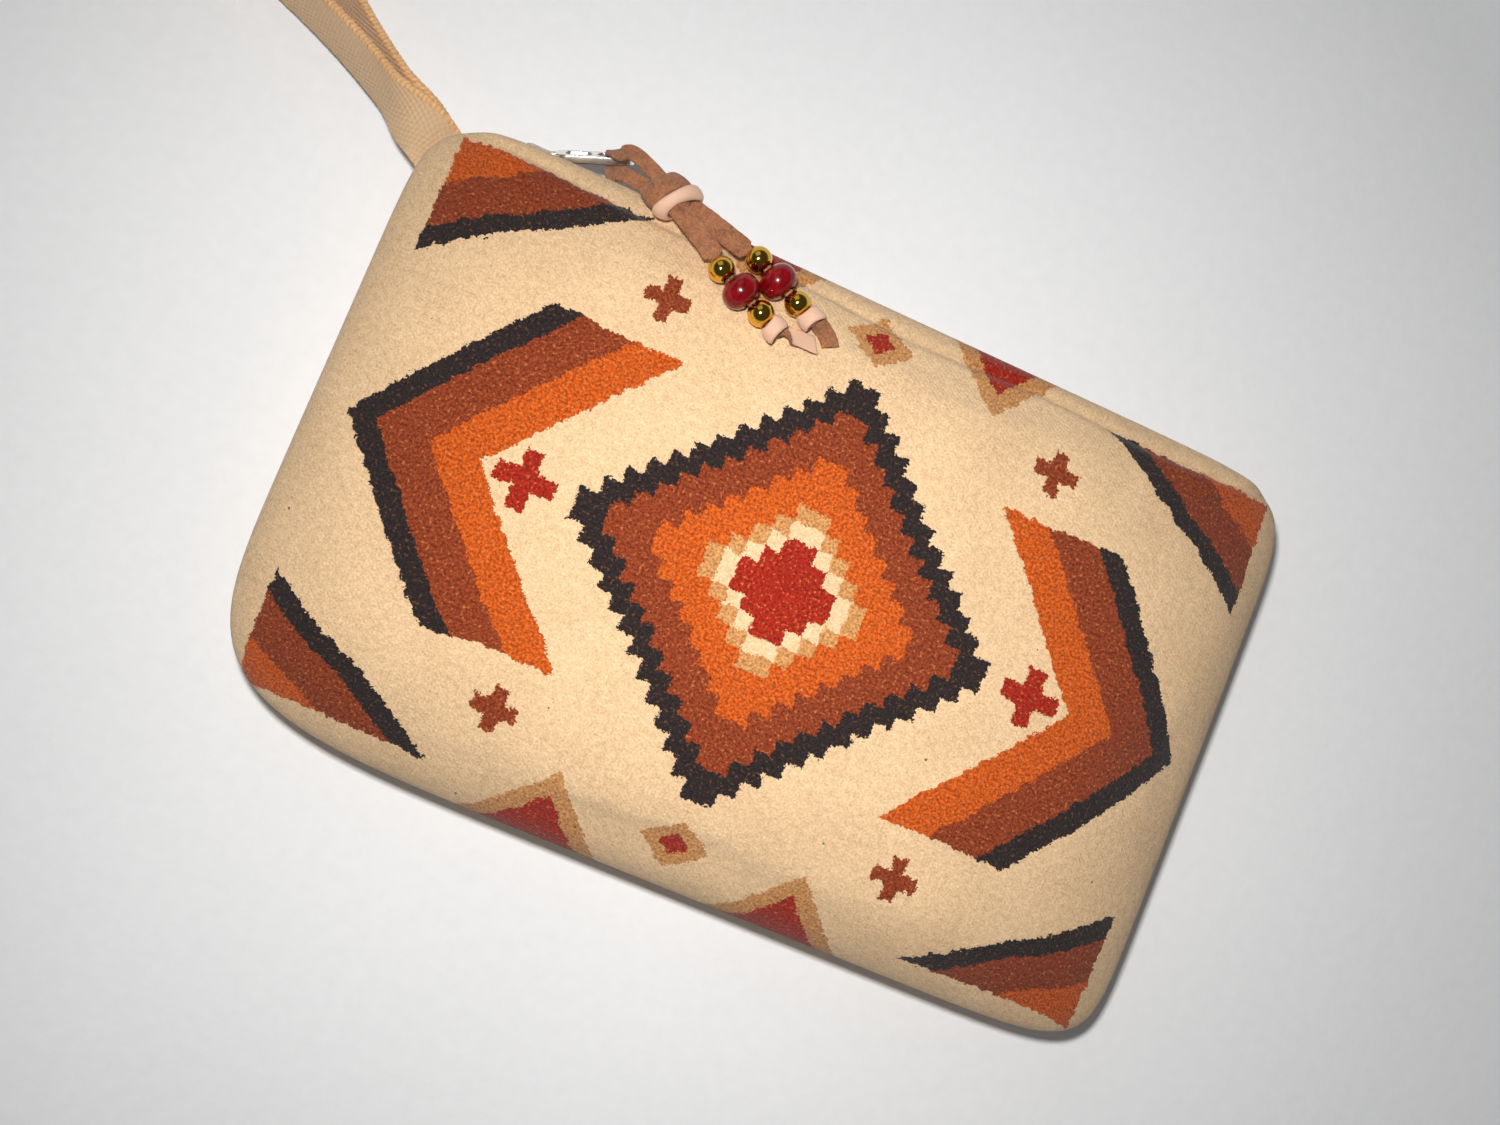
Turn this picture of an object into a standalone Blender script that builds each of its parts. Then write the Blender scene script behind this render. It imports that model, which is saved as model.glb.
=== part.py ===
"""Zip wristlet: a padded wool pouch with a wrist strap and a beaded zip pull.

The pouch lies on its back. X runs along the zip, Y points out of the zip edge and Z is up,
through the front. The origin is the middle of the flat patch that the back rests on.
All sizes are in metres.
"""

import math

import bmesh
import bpy
from mathutils import Matrix, Vector

# The pouch
POUCH_HALF_WIDTH = 0.1125
POUCH_HALF_HEIGHT = 0.0716
POUCH_THICKNESS = 0.036
ZIP_CORNER_EXPONENT = 12.0
STRAP_SIDE_EXPONENT = 5.8
FAR_SIDE_EXPONENT = 12.0
FRONT_FLAT_SHARE = 0.30
BACK_FLAT_SHARE = 0.62
FRONT_SHOULDER = 3.0
BACK_SHOULDER = 2.5
CORNER_PINCH = 0.22
PINCH_POWER = 6
SEAM_HEIGHT = 0.0153
WOOL = 0.0016
SEAM_ROLL = 0.0030
SEAM_ALLOWANCE = 0.0040
HEM_ALLOWANCE = 0.0012
HEM_BAND = 0.0028
SEAM_BAND = 0.0011
CLEARANCE = 0.0003

# The lining
LINING_CLOTH = 0.0006
LINING_EASE = 0.0004
LINING_FLAT_SHARE = 0.35
MOUTH_DEPTH = 0.012
MOUTH_REACH = 0.005

# The zip
ZIP_HEIGHT = 0.016
ZIP_WINDOW = 0.011
ZIP_SETBACK = 0.0015
ZIP_OPEN_SHARE = 0.865
ZIP_SHUT_SHARE = 0.945
BAND_FULL_SHARE = 0.940
TAPE_THICKNESS = 0.0005
TAPE_WIDTH = 0.0088
TAPE_SPLIT = 0.0022
TAPE_END_GAP = 0.0163
COIL_THICKNESS = 0.0014
COIL_PITCH = 0.0025
COIL_NECK = 0.0005
COIL_HEAD = 0.0014
COIL_SHOULDER = 0.0003
COIL_REACH = 0.0007
COIL_NOTCH = 0.0002
COIL_SPINE = 0.0008
COIL_HALF_WIDTH = 0.0028
COIL_END_GAP = 0.0225
STOP_LENGTH = 0.0022
STOP_REACH = 0.0030
STOP_PLATE = 0.0006
BOTTOM_STOP_LENGTH = 0.0030
STOP_ROUNDING = 0.0003

# The slider
SLIDER_END_GAP = 0.0245
SLIDER_LENGTH = 0.0100
SLIDER_HALF_WIDTH = 0.0043
SLIDER_PLATE = 0.0011
SLIDER_FLANGE = 0.0008
SLIDER_PLAY = 0.00035
SLIDER_CORNER = 0.0008
SLIDER_NOSE = 0.0015
SLIDER_SHOULDER = 0.0015
CUTTER_REACH = 0.0010
WEDGE_LENGTH = 0.0036
WEDGE_HALF_WIDTH = 0.0008
WEDGE_X = -0.0024
WEDGE_TIP = 0.0002
WEDGE_ROUND = 0.0006
BRIDGE_STRIP = 0.00085
BRIDGE_WIDTH = 0.0018
BRIDGE_HALF_LENGTH = 0.0036
BRIDGE_ROUND = 0.0015

# The pull tab
TAB_LENGTH = 0.0235
TAB_HALF_WIDTH = 0.0032
TAB_THICKNESS = 0.0019
TAB_SWING = math.radians(21)
TAB_LIFT = math.radians(5)
TAB_TWIST = math.radians(24)
TAB_RECESS = 0.0005
TAB_RIM = 0.0012
TAB_ROUND = 0.0026
RECESS_ROUND = 0.0012
EYE_BAR_RADIUS = 0.00065
EYE_ARM = 0.0008
EYE_HOLE_HALF_WIDTH = 0.0021
EYE_PLAY = 0.0016
EYE_HOLE_ROUND = 0.0005
EYE_SUNK = 0.0020
SLOT_LENGTH = 0.0074
SLOT_HALF_WIDTH = 0.0018
SLOT_ROUND = 0.0016

# The lace and the beads
LACE_WIDTH = 0.0040
LACE_THICKNESS = 0.0012
STRAND_WIDTH = 0.0021
STRAND_THICKNESS = 0.0015
KNOT_CORE = 0.0012
KNOT_TUBE = 0.0018
KNOT_SLANT = 0.12
END_KNOT_CORE = 0.0008
END_KNOT_TUBE = 0.0012
WRAP_PITCH = 1.9
WRAP_VALLEY = 0.72
GOLD_BEAD_RADIUS = 0.0030
GOLD_BEAD_HOLE = 0.00155
RED_BEAD_RADIUS = 0.0045
RED_BEAD_HALF_LENGTH = 0.0033
RED_BEAD_HOLE = 0.0019
BEAD_STEP = 0.0066
TASSEL_REST = 0.0006
GOLD_BEAD_POWER = 2.0
RED_BEAD_POWER = 2.4
STRIP_CORNER_SHARE = 0.55
LOOP_DIP = 0.0014
LOOP_EASE = 0.0004
LOOP_HEM_GAP = 0.0016
STRAND_ROOT = 0.0012
STRAND_LEAD = 0.0020
STRAND_BOW_SHARE = 0.52
STRAND_BOW = 0.0006
STRAND_NARROW_SHARE = 0.55
STRAND_ANGLE = math.radians(-24)
TAIL_LENGTH = 0.0092
TAIL_DROP = 0.0012
TAIL_WIDTHS = (STRAND_WIDTH, 0.9 * LACE_WIDTH, LACE_WIDTH, 0.8 * LACE_WIDTH)

# The knot from the hinge, and each strand's first bead from the knot
KNOT_SHIFT = Vector((0.03235, 0.0, 0.0180))
STRAND_SHIFTS = (Vector((0.0158, -0.0124, 0)), Vector((0.0228, -0.0070, 0)))
LOOP_END = Vector((-0.0003, 0.0010, 0.0006))

# The loop in front of the tab, as (along it, above its upper rim, out from its face)
LOOP_FRONT = ((0.0050, 0.0072, 0.0012), (0.0014, 0.0030, 0.0006))

# The loop behind the tab, as (along X, up) from the slot's middle
LOOP_BEHIND = ((0.0012, 0.0055), (0.0042, 0.0095))

# The wrist strap
STRAP_WIDTH = 0.0130
STRAP_THICKNESS = 0.0019
STRAP_LOOP_LENGTH = 0.155
STRAP_OPENING = 0.034
STRAP_HEADING = math.radians(148)
STRAP_TUCK = 0.0011
STRAP_SPREAD = 0.0005
STRAP_STEPS = 26
STRAP_BEND_SHARE = 0.70
STRAP_LEAN = math.radians(24)
STRAP_DROP_LENGTH = 0.055
STRAP_PRESS_LENGTH = 0.004
STRAP_PRESSED_SHARE = 0.35
STRAP_CROWDING = 1.6

# Where along the loop, from 0 to 1, each change of the strap begins and ends
STRAP_SPREAD_SPAN = (0.0, 0.06)
STRAP_SWELL_SPAN = (0.10, 0.78)
STRAP_TURN_SPAN = (0.0, 0.12)
STRAP_UPRIGHT_SPAN = (0.55, 1.0)
STRAP_LEVEL_SPAN = (0.16, 0.5)

# How finely round forms are drawn
OUTLINE_POINTS = 48
FRONT_RINGS = 6
BACK_RINGS = 4
TURN_STEPS = 4
LINING_POINTS = 32
LINING_RINGS = 3
BEAD_STEPS = 14
BEAD_PROFILE_STEPS = 7
ROUND_STEPS = 4
WRAP_STEPS = 4
KNOT_SIDES = 14
END_KNOT_SIDES = 10
LOOP_STEPS = 3
STRAND_STEPS = 2
SEARCH_POINTS = 2000
SLOPE_STEP = 0.0005
MERGE_DISTANCE = 0.00001
EMPTY_SIZE = 0.01

# What follows from the sizes above. Along Y, the zip's layers are named from the inside outwards
TAPE_LENGTH = 2 * (POUCH_HALF_WIDTH - TAPE_END_GAP)
COIL_END_X = POUCH_HALF_WIDTH - COIL_END_GAP
SLIDER_X = SLIDER_END_GAP - POUCH_HALF_WIDTH
FOLD_ROLL = WOOL + CLEARANCE / 2
ZIP_FOLD_HALF = ZIP_WINDOW / 2
TAPE_FACE = POUCH_HALF_HEIGHT - 2 * FOLD_ROLL - ZIP_SETBACK
TAPE_BACK = TAPE_FACE - TAPE_THICKNESS
COIL_BACK = TAPE_FACE + CLEARANCE
COIL_FACE = COIL_BACK + COIL_THICKNESS
COIL_START_X = SLIDER_X + WEDGE_X + WEDGE_LENGTH / 2 + CLEARANCE
OUTER_PLATE_UNDER = COIL_FACE + SLIDER_PLAY
OUTER_PLATE_TOP = OUTER_PLATE_UNDER + SLIDER_PLATE
INNER_PLATE_TOP = TAPE_BACK - SLIDER_PLAY
INNER_PLATE_UNDER = INNER_PLATE_TOP - SLIDER_PLATE
EYE_HALF_WIDTH = EYE_HOLE_HALF_WIDTH + EYE_ARM
HINGE_Y = OUTER_PLATE_TOP + CLEARANCE + EYE_BAR_RADIUS + EYE_HALF_WIDTH * math.sin(TAB_TWIST)
BRIDGE_UNDER = (HINGE_Y + BRIDGE_WIDTH / 2 * math.tan(TAB_TWIST)
                + EYE_BAR_RADIUS / math.cos(TAB_TWIST) + CLEARANCE)
BRIDGE_TOP = BRIDGE_UNDER + BRIDGE_STRIP
HINGE_SHIFT = BRIDGE_HALF_LENGTH - BRIDGE_STRIP - EYE_PLAY
HINGE = Vector((SLIDER_X - HINGE_SHIFT, HINGE_Y, ZIP_HEIGHT))
SLOT_END = TAB_LENGTH - TAB_RIM
SLOT_MIDDLE = SLOT_END - SLOT_LENGTH / 2
PLATE_START = HINGE_SHIFT + BRIDGE_HALF_LENGTH + 2 * CLEARANCE
KNOT = HINGE + KNOT_SHIFT
BEAD_LIFT = RED_BEAD_RADIUS + TASSEL_REST
STRAND_STARTS = [KNOT + shift for shift in STRAND_SHIFTS]
STRAND_HEADING = Vector((math.cos(STRAND_ANGLE), math.sin(STRAND_ANGLE), 0))


def clear_scene():
    for item in list(bpy.data.objects):
        bpy.data.objects.remove(item, do_unlink=True)


def new_collection(name):
    collection = bpy.data.collections.new(name)
    bpy.context.scene.collection.children.link(collection)
    return collection


clear_scene()
PARTS = new_collection("wristlet")
CUTTERS = new_collection("wristlet_cutters")


def material(name, color, roughness, metallic=0.0):
    made = bpy.data.materials.new(name)
    made.use_nodes = True
    shader = made.node_tree.nodes["Principled BSDF"]
    shader.inputs["Base Color"].default_value = (*color, 1.0)
    shader.inputs["Roughness"].default_value = roughness
    shader.inputs["Metallic"].default_value = metallic
    return made


WOOL_FRONT = material("wool_front", (0.74, 0.52, 0.30), 0.95)
WOOL_BACK = material("wool_back", (0.70, 0.49, 0.28), 0.95)
COTTON_LINING = material("cotton_lining", (0.36, 0.17, 0.09), 0.9)
TAPE_BLACK = material("tape_black", (0.02, 0.02, 0.02), 0.85)
NYLON_BLACK = material("nylon_black", (0.015, 0.015, 0.015), 0.35)
NICKEL = material("nickel", (0.78, 0.76, 0.72), 0.18, 1.0)
SUEDE = material("suede", (0.30, 0.12, 0.05), 0.9)
GOLD = material("gold", (0.86, 0.62, 0.20), 0.15, 1.0)
DEEP_RED = material("deep_red", (0.27, 0.01, 0.02), 0.15)
WEBBING = material("webbing", (0.62, 0.43, 0.25), 0.9)


def smoothstep(low, high, value):
    share = min(max((value - low) / (high - low), 0.0), 1.0)
    return share * share * (3.0 - 2.0 * share)


def mix(first, second, share):
    return first + (second - first) * share


def add_object(name, mesh, look, parent=None, pivot=None):
    """Put a mesh made in world coordinates in the scene, carried by an empty where it moves."""
    mesh.name = name
    made = bpy.data.objects.new(name, mesh)
    PARTS.objects.link(made)
    made.data.materials.clear()
    made.data.materials.append(look)
    if parent is not None:
        made.parent = parent
        made.matrix_parent_inverse = Matrix.Translation(-pivot)
    return made


def add_empty(name, place, parent=None, parent_place=None):
    made = bpy.data.objects.new(name, None)
    made.empty_display_size = EMPTY_SIZE
    PARTS.objects.link(made)
    made.location = place
    if parent is not None:
        made.parent = parent
        made.matrix_parent_inverse = Matrix.Translation(-parent_place)
    return made


def mesh_from(bm, name):
    bmesh.ops.recalc_face_normals(bm, faces=bm.faces)
    mesh = bpy.data.meshes.new(name)
    bm.to_mesh(mesh)
    bm.free()
    return mesh


def split_bent_faces(bm):
    """Cut faces whose corners don't lie in one plane, so that Booleans meet flat faces only."""
    bmesh.ops.triangulate(bm, faces=[face for face in bm.faces if len(face.verts) == 4])


def shade_round(item, angle=35):
    item.data.shade_smooth()
    item.data.set_sharp_from_angle(angle=math.radians(angle))


def add_cutter(name, mesh):
    made = bpy.data.objects.new(name, mesh)
    CUTTERS.objects.link(made)
    made.hide_render = True
    made.display_type = "WIRE"
    return made


def combine(item, operand, operation):
    step = item.modifiers.new(operation.lower() + "_" + operand.name, "BOOLEAN")
    step.operation = operation
    step.solver = "EXACT"
    step.object = operand


def box_mesh(name, low, high):
    bm = bmesh.new()
    bmesh.ops.create_cube(bm, size=1.0)
    size = Vector(high) - Vector(low)
    middle = (Vector(high) + Vector(low)) / 2
    bmesh.ops.scale(bm, vec=size, verts=bm.verts)
    bmesh.ops.translate(bm, vec=middle, verts=bm.verts)
    return mesh_from(bm, name)


def slab_mesh(name, outline, thickness, holes=()):
    """A flat outline in X and Y, filled and given a thickness along Z, as a welded mesh."""
    curve = bpy.data.curves.new(name, "CURVE")
    curve.dimensions = "2D"
    curve.fill_mode = "BOTH"
    curve.extrude = thickness / 2
    for points in (outline, *holes):
        spline = curve.splines.new("POLY")
        spline.points.add(len(points) - 1)
        for point, place in zip(spline.points, points):
            point.co = (place[0], place[1], 0.0, 1.0)
        spline.use_cyclic_u = True
    holder = bpy.data.objects.new(name, curve)
    bpy.context.scene.collection.objects.link(holder)
    graph = bpy.context.evaluated_depsgraph_get()
    flat = bpy.data.meshes.new_from_object(holder.evaluated_get(graph))
    bpy.data.objects.remove(holder, do_unlink=True)
    bm = bmesh.new()
    bm.from_mesh(flat)
    bpy.data.meshes.remove(flat)
    bmesh.ops.remove_doubles(bm, verts=bm.verts, dist=MERGE_DISTANCE)
    return mesh_from(bm, name)


def fill_evenly(mesh):
    """Fill a slab's flat sides again, without thin triangles along straight rows of points."""
    bm = bmesh.new()
    bm.from_mesh(mesh)
    bmesh.ops.dissolve_limit(bm, angle_limit=math.radians(1), verts=bm.verts, edges=bm.edges)
    bmesh.ops.triangulate(bm, faces=bm.faces)
    bm.to_mesh(mesh)
    bm.free()


def stand_slab(mesh, place):
    """Turn a slab so that its Y becomes up and its thickness lies along Y, then move it."""
    mesh.transform(Matrix.Translation(place) @ Matrix.Rotation(math.pi / 2, 4, "X"))
    return mesh


def loft_mesh(name, rings):
    """Skin a row of closed rings and close both ends."""
    bm = bmesh.new()
    loops = [[bm.verts.new(point) for point in ring] for ring in rings]
    for first, second in zip(loops, loops[1:]):
        for i in range(len(first)):
            j = (i + 1) % len(first)
            bm.faces.new((first[i], first[j], second[j], second[i]))
    bm.faces.new(loops[0][::-1])
    bm.faces.new(loops[-1])
    split_bent_faces(bm)
    return mesh_from(bm, name)


def flat_section(center, across, outward, width, thickness):
    """Eight points of a flat strip's section with its corners taken off."""
    half_w = width / 2
    half_t = thickness / 2
    corner = half_t * STRIP_CORNER_SHARE
    places = (
        (half_w - corner, half_t), (corner - half_w, half_t), (-half_w, half_t - corner),
        (-half_w, corner - half_t), (corner - half_w, -half_t), (half_w - corner, -half_t),
        (half_w, corner - half_t), (half_w, half_t - corner),
    )
    return [center + across * a + outward * b for a, b in places]


def strip_mesh(name, centers, acrosses, widths, thicknesses):
    """A flat strip swept along a path, with its own width direction at each point."""
    rings = []
    last = len(centers) - 1
    for i, center in enumerate(centers):
        along = (centers[min(i + 1, last)] - centers[max(i - 1, 0)]).normalized()
        across = acrosses[i] - along * acrosses[i].dot(along)
        across.normalize()
        outward = along.cross(across)
        rings.append(flat_section(center, across, outward, widths[i], thicknesses[i]))
    return loft_mesh(name, rings)


def carried(centers, start, across):
    """Width directions along a path, carried both ways from one point without twist."""
    found = [across] * len(centers)
    last = len(centers) - 1
    for order in (range(start, last + 1), range(start, -1, -1)):
        held = across
        for i in order:
            along = (centers[min(i + 1, last)] - centers[max(i - 1, 0)]).normalized()
            held = (held - along * held.dot(along)).normalized()
            found[i] = held
    return found


def smooth_path(points, steps):
    """Points of a Catmull-Rom curve through the given ones."""
    ends = [points[0] * 2 - points[1], *points, points[-1] * 2 - points[-2]]
    path = []
    for a, b, c, d in zip(ends, ends[1:], ends[2:], ends[3:]):
        for k in range(steps):
            t = k / steps
            path.append(
                (b * 2 + (c - a) * t + (a * 2 - b * 5 + c * 4 - d) * t * t
                 + (b * 3 - a - c * 3 + d) * t * t * t) / 2
            )
    path.append(points[-1].copy())
    return path


# The pouch's outline, seen from above

def corner_exponent(x, y):
    """How square a corner is: the zip's ends hold the upper two out, and one lower one sags."""
    if y > 0:
        return ZIP_CORNER_EXPONENT
    return STRAP_SIDE_EXPONENT if x < 0 else FAR_SIDE_EXPONENT


def outline(half_x, half_y, count):
    """Points of a rounded rectangle and the outward direction at each."""
    found = []
    for i in range(count):
        turn = 2 * math.pi * (i + 0.5) / count
        c = math.cos(turn)
        s = math.sin(turn)
        power = corner_exponent(c, s)
        x = half_x * math.copysign(abs(c) ** (2 / power), c)
        y = half_y * math.copysign(abs(s) ** (2 / power), s)
        nx = math.copysign(abs(x / half_x) ** (power - 1), x) / half_x
        ny = math.copysign(abs(y / half_y) ** (power - 1), y) / half_y
        found.append((Vector((x, y, 0)), Vector((nx, ny, 0)).normalized()))
    return found


def level(x, y):
    """How far out a place is: 0 at the middle and 1 on the outline."""
    power = corner_exponent(x, y)
    share = abs(x / POUCH_HALF_WIDTH) ** power + abs(y / POUCH_HALF_HEIGHT) ** power
    return share ** (1 / power)


def zip_share(place):
    """1 along the zip, 0 along the sewn sides, and smooth between them at the zip's ends."""
    if place.y < 0:
        return 0.0
    out = abs(place.x) / POUCH_HALF_WIDTH
    return 1.0 - smoothstep(ZIP_OPEN_SHARE, ZIP_SHUT_SHARE, out)


def band_share(place):
    """Like zip_share, but it reaches round the corners, so the crown clears the hem there."""
    if place.y < 0:
        return 0.0
    return 1.0 - smoothstep(BAND_FULL_SHARE, 1.0, abs(place.x) / POUCH_HALF_WIDTH)


def rim_height(side, share):
    """Where a panel's outer wall stands upright, before it rolls under at its edge."""
    seam = SEAM_HEIGHT + side * (CLEARANCE / 2 + SEAM_ROLL)
    fold = ZIP_HEIGHT + side * (ZIP_FOLD_HALF + FOLD_ROLL)
    return mix(seam, fold, share)


def crown_base(side, place):
    """Where a panel's crown begins, above an upright band that hides the hem along the zip."""
    band = mix(SEAM_BAND, HEM_BAND, band_share(place))
    return rim_height(side, zip_share(place)) + side * band


def crown_share(out, flat_share, shoulder):
    """The crown's height, from 1 over the flat middle to 0 at the outline."""
    if out <= flat_share:
        return 1.0
    part = min((out - flat_share) / (1.0 - flat_share), 1.0)
    return math.sqrt(max(1.0 - part ** shoulder, 0.0))


def front_height(x, y):
    """Height of the front's outer face over a place near the zip's middle."""
    base = crown_base(1, Vector((0.0, POUCH_HALF_HEIGHT, 0.0)))
    rise = crown_share(level(x, y), FRONT_FLAT_SHARE, FRONT_SHOULDER)
    return base + (POUCH_THICKNESS - base) * rise


def panel(name, side, look, rings, flat_share, shoulder, top):
    """One wool panel: crowned in the middle, rolled in at the seam, hemmed along the zip."""
    bm = bmesh.new()
    around = outline(POUCH_HALF_WIDTH, POUCH_HALF_HEIGHT, OUTLINE_POINTS)
    loops = []
    for ring in range(rings + 1):
        part = math.sin(math.pi / 2 * ring / rings)
        out = flat_share + (1.0 - flat_share) * part
        rise = crown_share(out, flat_share, shoulder)
        loop = []
        for place, _ in around:
            base = crown_base(side, place)
            corner = (abs(place.x / POUCH_HALF_WIDTH) * abs(place.y / POUCH_HALF_HEIGHT)) ** 2
            pinch = 1.0 - CORNER_PINCH * corner * out ** PINCH_POWER
            height = base + (top - base) * rise * pinch
            loop.append(bm.verts.new((place.x * out, place.y * out, height)))
        loops.append(loop)
    for step in range(TURN_STEPS + 2):
        loop = []
        for place, outward in around:
            share = zip_share(place)
            roll = mix(SEAM_ROLL, FOLD_ROLL, share)
            full_turn = mix(math.pi / 2, math.pi, share)
            turned = full_turn * min(step, TURN_STEPS) / TURN_STEPS
            inward = roll * (1 - math.cos(turned))
            down = roll * math.sin(turned)
            if step > TURN_STEPS:
                allowance = mix(SEAM_ALLOWANCE, HEM_ALLOWANCE, share)
                inward += allowance * math.sin(turned)
                down += allowance * math.cos(turned)
            spot = place - outward * inward
            rim = rim_height(side, share)
            loop.append(bm.verts.new((spot.x, spot.y, rim - side * down)))
        loops.append(loop)
    for first, second in zip(loops, loops[1:]):
        for i in range(OUTLINE_POINTS):
            j = (i + 1) % OUTLINE_POINTS
            corners = (first[i], second[i], second[j], first[j])
            bm.faces.new(corners if side > 0 else corners[::-1])
    bm.faces.new(loops[0] if side > 0 else loops[0][::-1])
    mesh = bpy.data.meshes.new(name)
    bm.to_mesh(mesh)
    bm.free()
    made = add_object(name, mesh, look)
    wall = made.modifiers.new("cloth", "SOLIDIFY")
    wall.thickness = WOOL
    wall.offset = -1
    wall.use_even_offset = True
    shade_round(made, 60)
    return made


def build_panels():
    panel("front_panel", 1, WOOL_FRONT, FRONT_RINGS, FRONT_FLAT_SHARE, FRONT_SHOULDER,
          POUCH_THICKNESS)
    panel("back_panel", -1, WOOL_BACK, BACK_RINGS, BACK_FLAT_SHARE, BACK_SHOULDER, 0.0)


# The lining and the zip

def build_lining():
    """A thin bag inside the pouch, open along the zip."""
    half_x = POUCH_HALF_WIDTH - SEAM_ROLL - SEAM_ALLOWANCE - 2 * CLEARANCE
    low_y = -(POUCH_HALF_HEIGHT - SEAM_ROLL - SEAM_ALLOWANCE - 2 * CLEARANCE)
    high_y = TAPE_BACK - CLEARANCE
    middle_y = (low_y + high_y) / 2
    half_y = (high_y - low_y) / 2
    top = POUCH_THICKNESS - WOOL - LINING_EASE
    bottom = WOOL + LINING_EASE
    bm = bmesh.new()
    loops = []
    for ring in range(-LINING_RINGS, LINING_RINGS + 1):
        part = math.cos(math.pi / 2 * ring / LINING_RINGS)
        out = LINING_FLAT_SHARE + (1.0 - LINING_FLAT_SHARE) * part
        rise = crown_share(out, LINING_FLAT_SHARE, FRONT_SHOULDER)
        end = top if ring > 0 else bottom
        height = mix(ZIP_HEIGHT, end, rise)
        loops.append([
            bm.verts.new((place.x * out, place.y * out + middle_y, height))
            for place, _ in outline(half_x, half_y, LINING_POINTS)
        ])
    for first, second in zip(loops, loops[1:]):
        for i in range(LINING_POINTS):
            j = (i + 1) % LINING_POINTS
            bm.faces.new((first[i], first[j], second[j], second[i]))
    bm.faces.new(loops[0][::-1])
    bm.faces.new(loops[-1])
    lining = add_object("lining", mesh_from(bm, "lining"), COTTON_LINING)
    wall = lining.modifiers.new("cloth", "SOLIDIFY")
    wall.thickness = LINING_CLOTH
    wall.offset = -1
    wall.use_even_offset = True
    half_mouth = SLIDER_HALF_WIDTH + 2 * SLIDER_PLAY
    mouth = add_cutter("lining_mouth", box_mesh(
        "lining_mouth",
        (-TAPE_LENGTH / 2, high_y - MOUTH_DEPTH, ZIP_HEIGHT - half_mouth),
        (TAPE_LENGTH / 2, high_y + MOUTH_REACH, ZIP_HEIGHT + half_mouth),
    ))
    combine(lining, mouth, "DIFFERENCE")
    shade_round(lining, 60)


def build_tapes():
    for name, side in (("zip_tape_front", 1), ("zip_tape_back", -1)):
        near = ZIP_HEIGHT + side * TAPE_SPLIT / 2
        far = ZIP_HEIGHT + side * TAPE_WIDTH
        low = (-TAPE_LENGTH / 2, TAPE_BACK, min(near, far))
        high = (TAPE_LENGTH / 2, TAPE_FACE, max(near, far))
        add_object(name, box_mesh(name, low, high), TAPE_BLACK)


def coil_outline(side, shift):
    """A comb with one element for each turn of the coil, its heads hooked behind the others'."""
    start = COIL_START_X + shift
    count = int((COIL_END_X - start) / COIL_PITCH)
    inner = COIL_HALF_WIDTH - COIL_SPINE
    points = [(start + count * COIL_PITCH, COIL_HALF_WIDTH), (start, COIL_HALF_WIDTH)]
    for i in range(count):
        middle = start + (i + 0.5) * COIL_PITCH
        points.append((middle - COIL_NECK / 2, inner))
        points.append((middle - COIL_NECK / 2, COIL_SHOULDER))
        points.append((middle - COIL_HEAD / 2, -COIL_REACH))
        points.append((middle + COIL_HEAD / 2, -COIL_REACH))
        points.append((middle + COIL_NECK / 2, COIL_SHOULDER))
        points.append((middle + COIL_NECK / 2, inner))
        if i < count - 1:
            points.append((middle + COIL_PITCH / 2, inner + COIL_NOTCH))
    if side < 0:
        points = [(x, -y) for x, y in points][::-1]
    return points


def build_coils():
    middle = (COIL_BACK + COIL_FACE) / 2
    for name, side, shift in (("zip_coil_front", 1, 0.0), ("zip_coil_back", -1, COIL_PITCH / 2)):
        mesh = slab_mesh(name, coil_outline(side, shift), COIL_THICKNESS)
        fill_evenly(mesh)
        stand_slab(mesh, Vector((0, middle, ZIP_HEIGHT)))
        add_object(name, mesh, NYLON_BLACK)


def clip(name, low_x, high_x, low_z, high_z):
    """A small metal clip around the tape's edge."""
    low = (low_x, TAPE_BACK - CLEARANCE - STOP_PLATE, low_z)
    high = (high_x, COIL_FACE, high_z)
    item = add_object(name, box_mesh(name, low, high), NICKEL)
    edge = item.modifiers.new("rounding", "BEVEL")
    edge.width = STOP_ROUNDING
    edge.segments = 1
    return item


def build_stops():
    slider_end = SLIDER_X - SLIDER_LENGTH / 2
    high_x = slider_end - 2 * CLEARANCE
    low_x = high_x - STOP_LENGTH
    for name, side in (("zip_stop_front", 1), ("zip_stop_back", -1)):
        near = ZIP_HEIGHT + side * CLEARANCE
        far = ZIP_HEIGHT + side * STOP_REACH
        item = clip(name, low_x, high_x, min(near, far), max(near, far))
        cut_tape_slot(item, low_x, high_x, side)
    low_x = COIL_END_X + CLEARANCE
    high_x = low_x + BOTTOM_STOP_LENGTH
    item = clip("zip_bottom_stop", low_x, high_x, ZIP_HEIGHT - STOP_REACH,
                ZIP_HEIGHT + STOP_REACH)
    for side in (1, -1):
        cut_tape_slot(item, low_x, high_x, side)


def cut_tape_slot(item, low_x, high_x, side):
    """Open a stop for the tape's edge, on the front's side or the back's."""
    name = item.name + ("_slot_front" if side > 0 else "_slot_back")
    near = ZIP_HEIGHT + side * (TAPE_SPLIT / 2 - CLEARANCE)
    far = ZIP_HEIGHT + side * 2 * STOP_REACH
    slot = add_cutter(name, box_mesh(
        name,
        (low_x - STOP_LENGTH, TAPE_BACK - CLEARANCE, min(near, far)),
        (high_x + STOP_LENGTH, TAPE_FACE + CLEARANCE, max(near, far)),
    ))
    combine(item, slot, "DIFFERENCE")


def mirrored(points):
    """Close a half outline, given from its right end to its left, across its middle line."""
    return points + [(x, -y) for x, y in reversed(points)]


def arc_inset(radius):
    """How far the middle of a quarter arc lies inside each side of its square corner."""
    return radius * (1 - math.cos(math.pi / 4))


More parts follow.
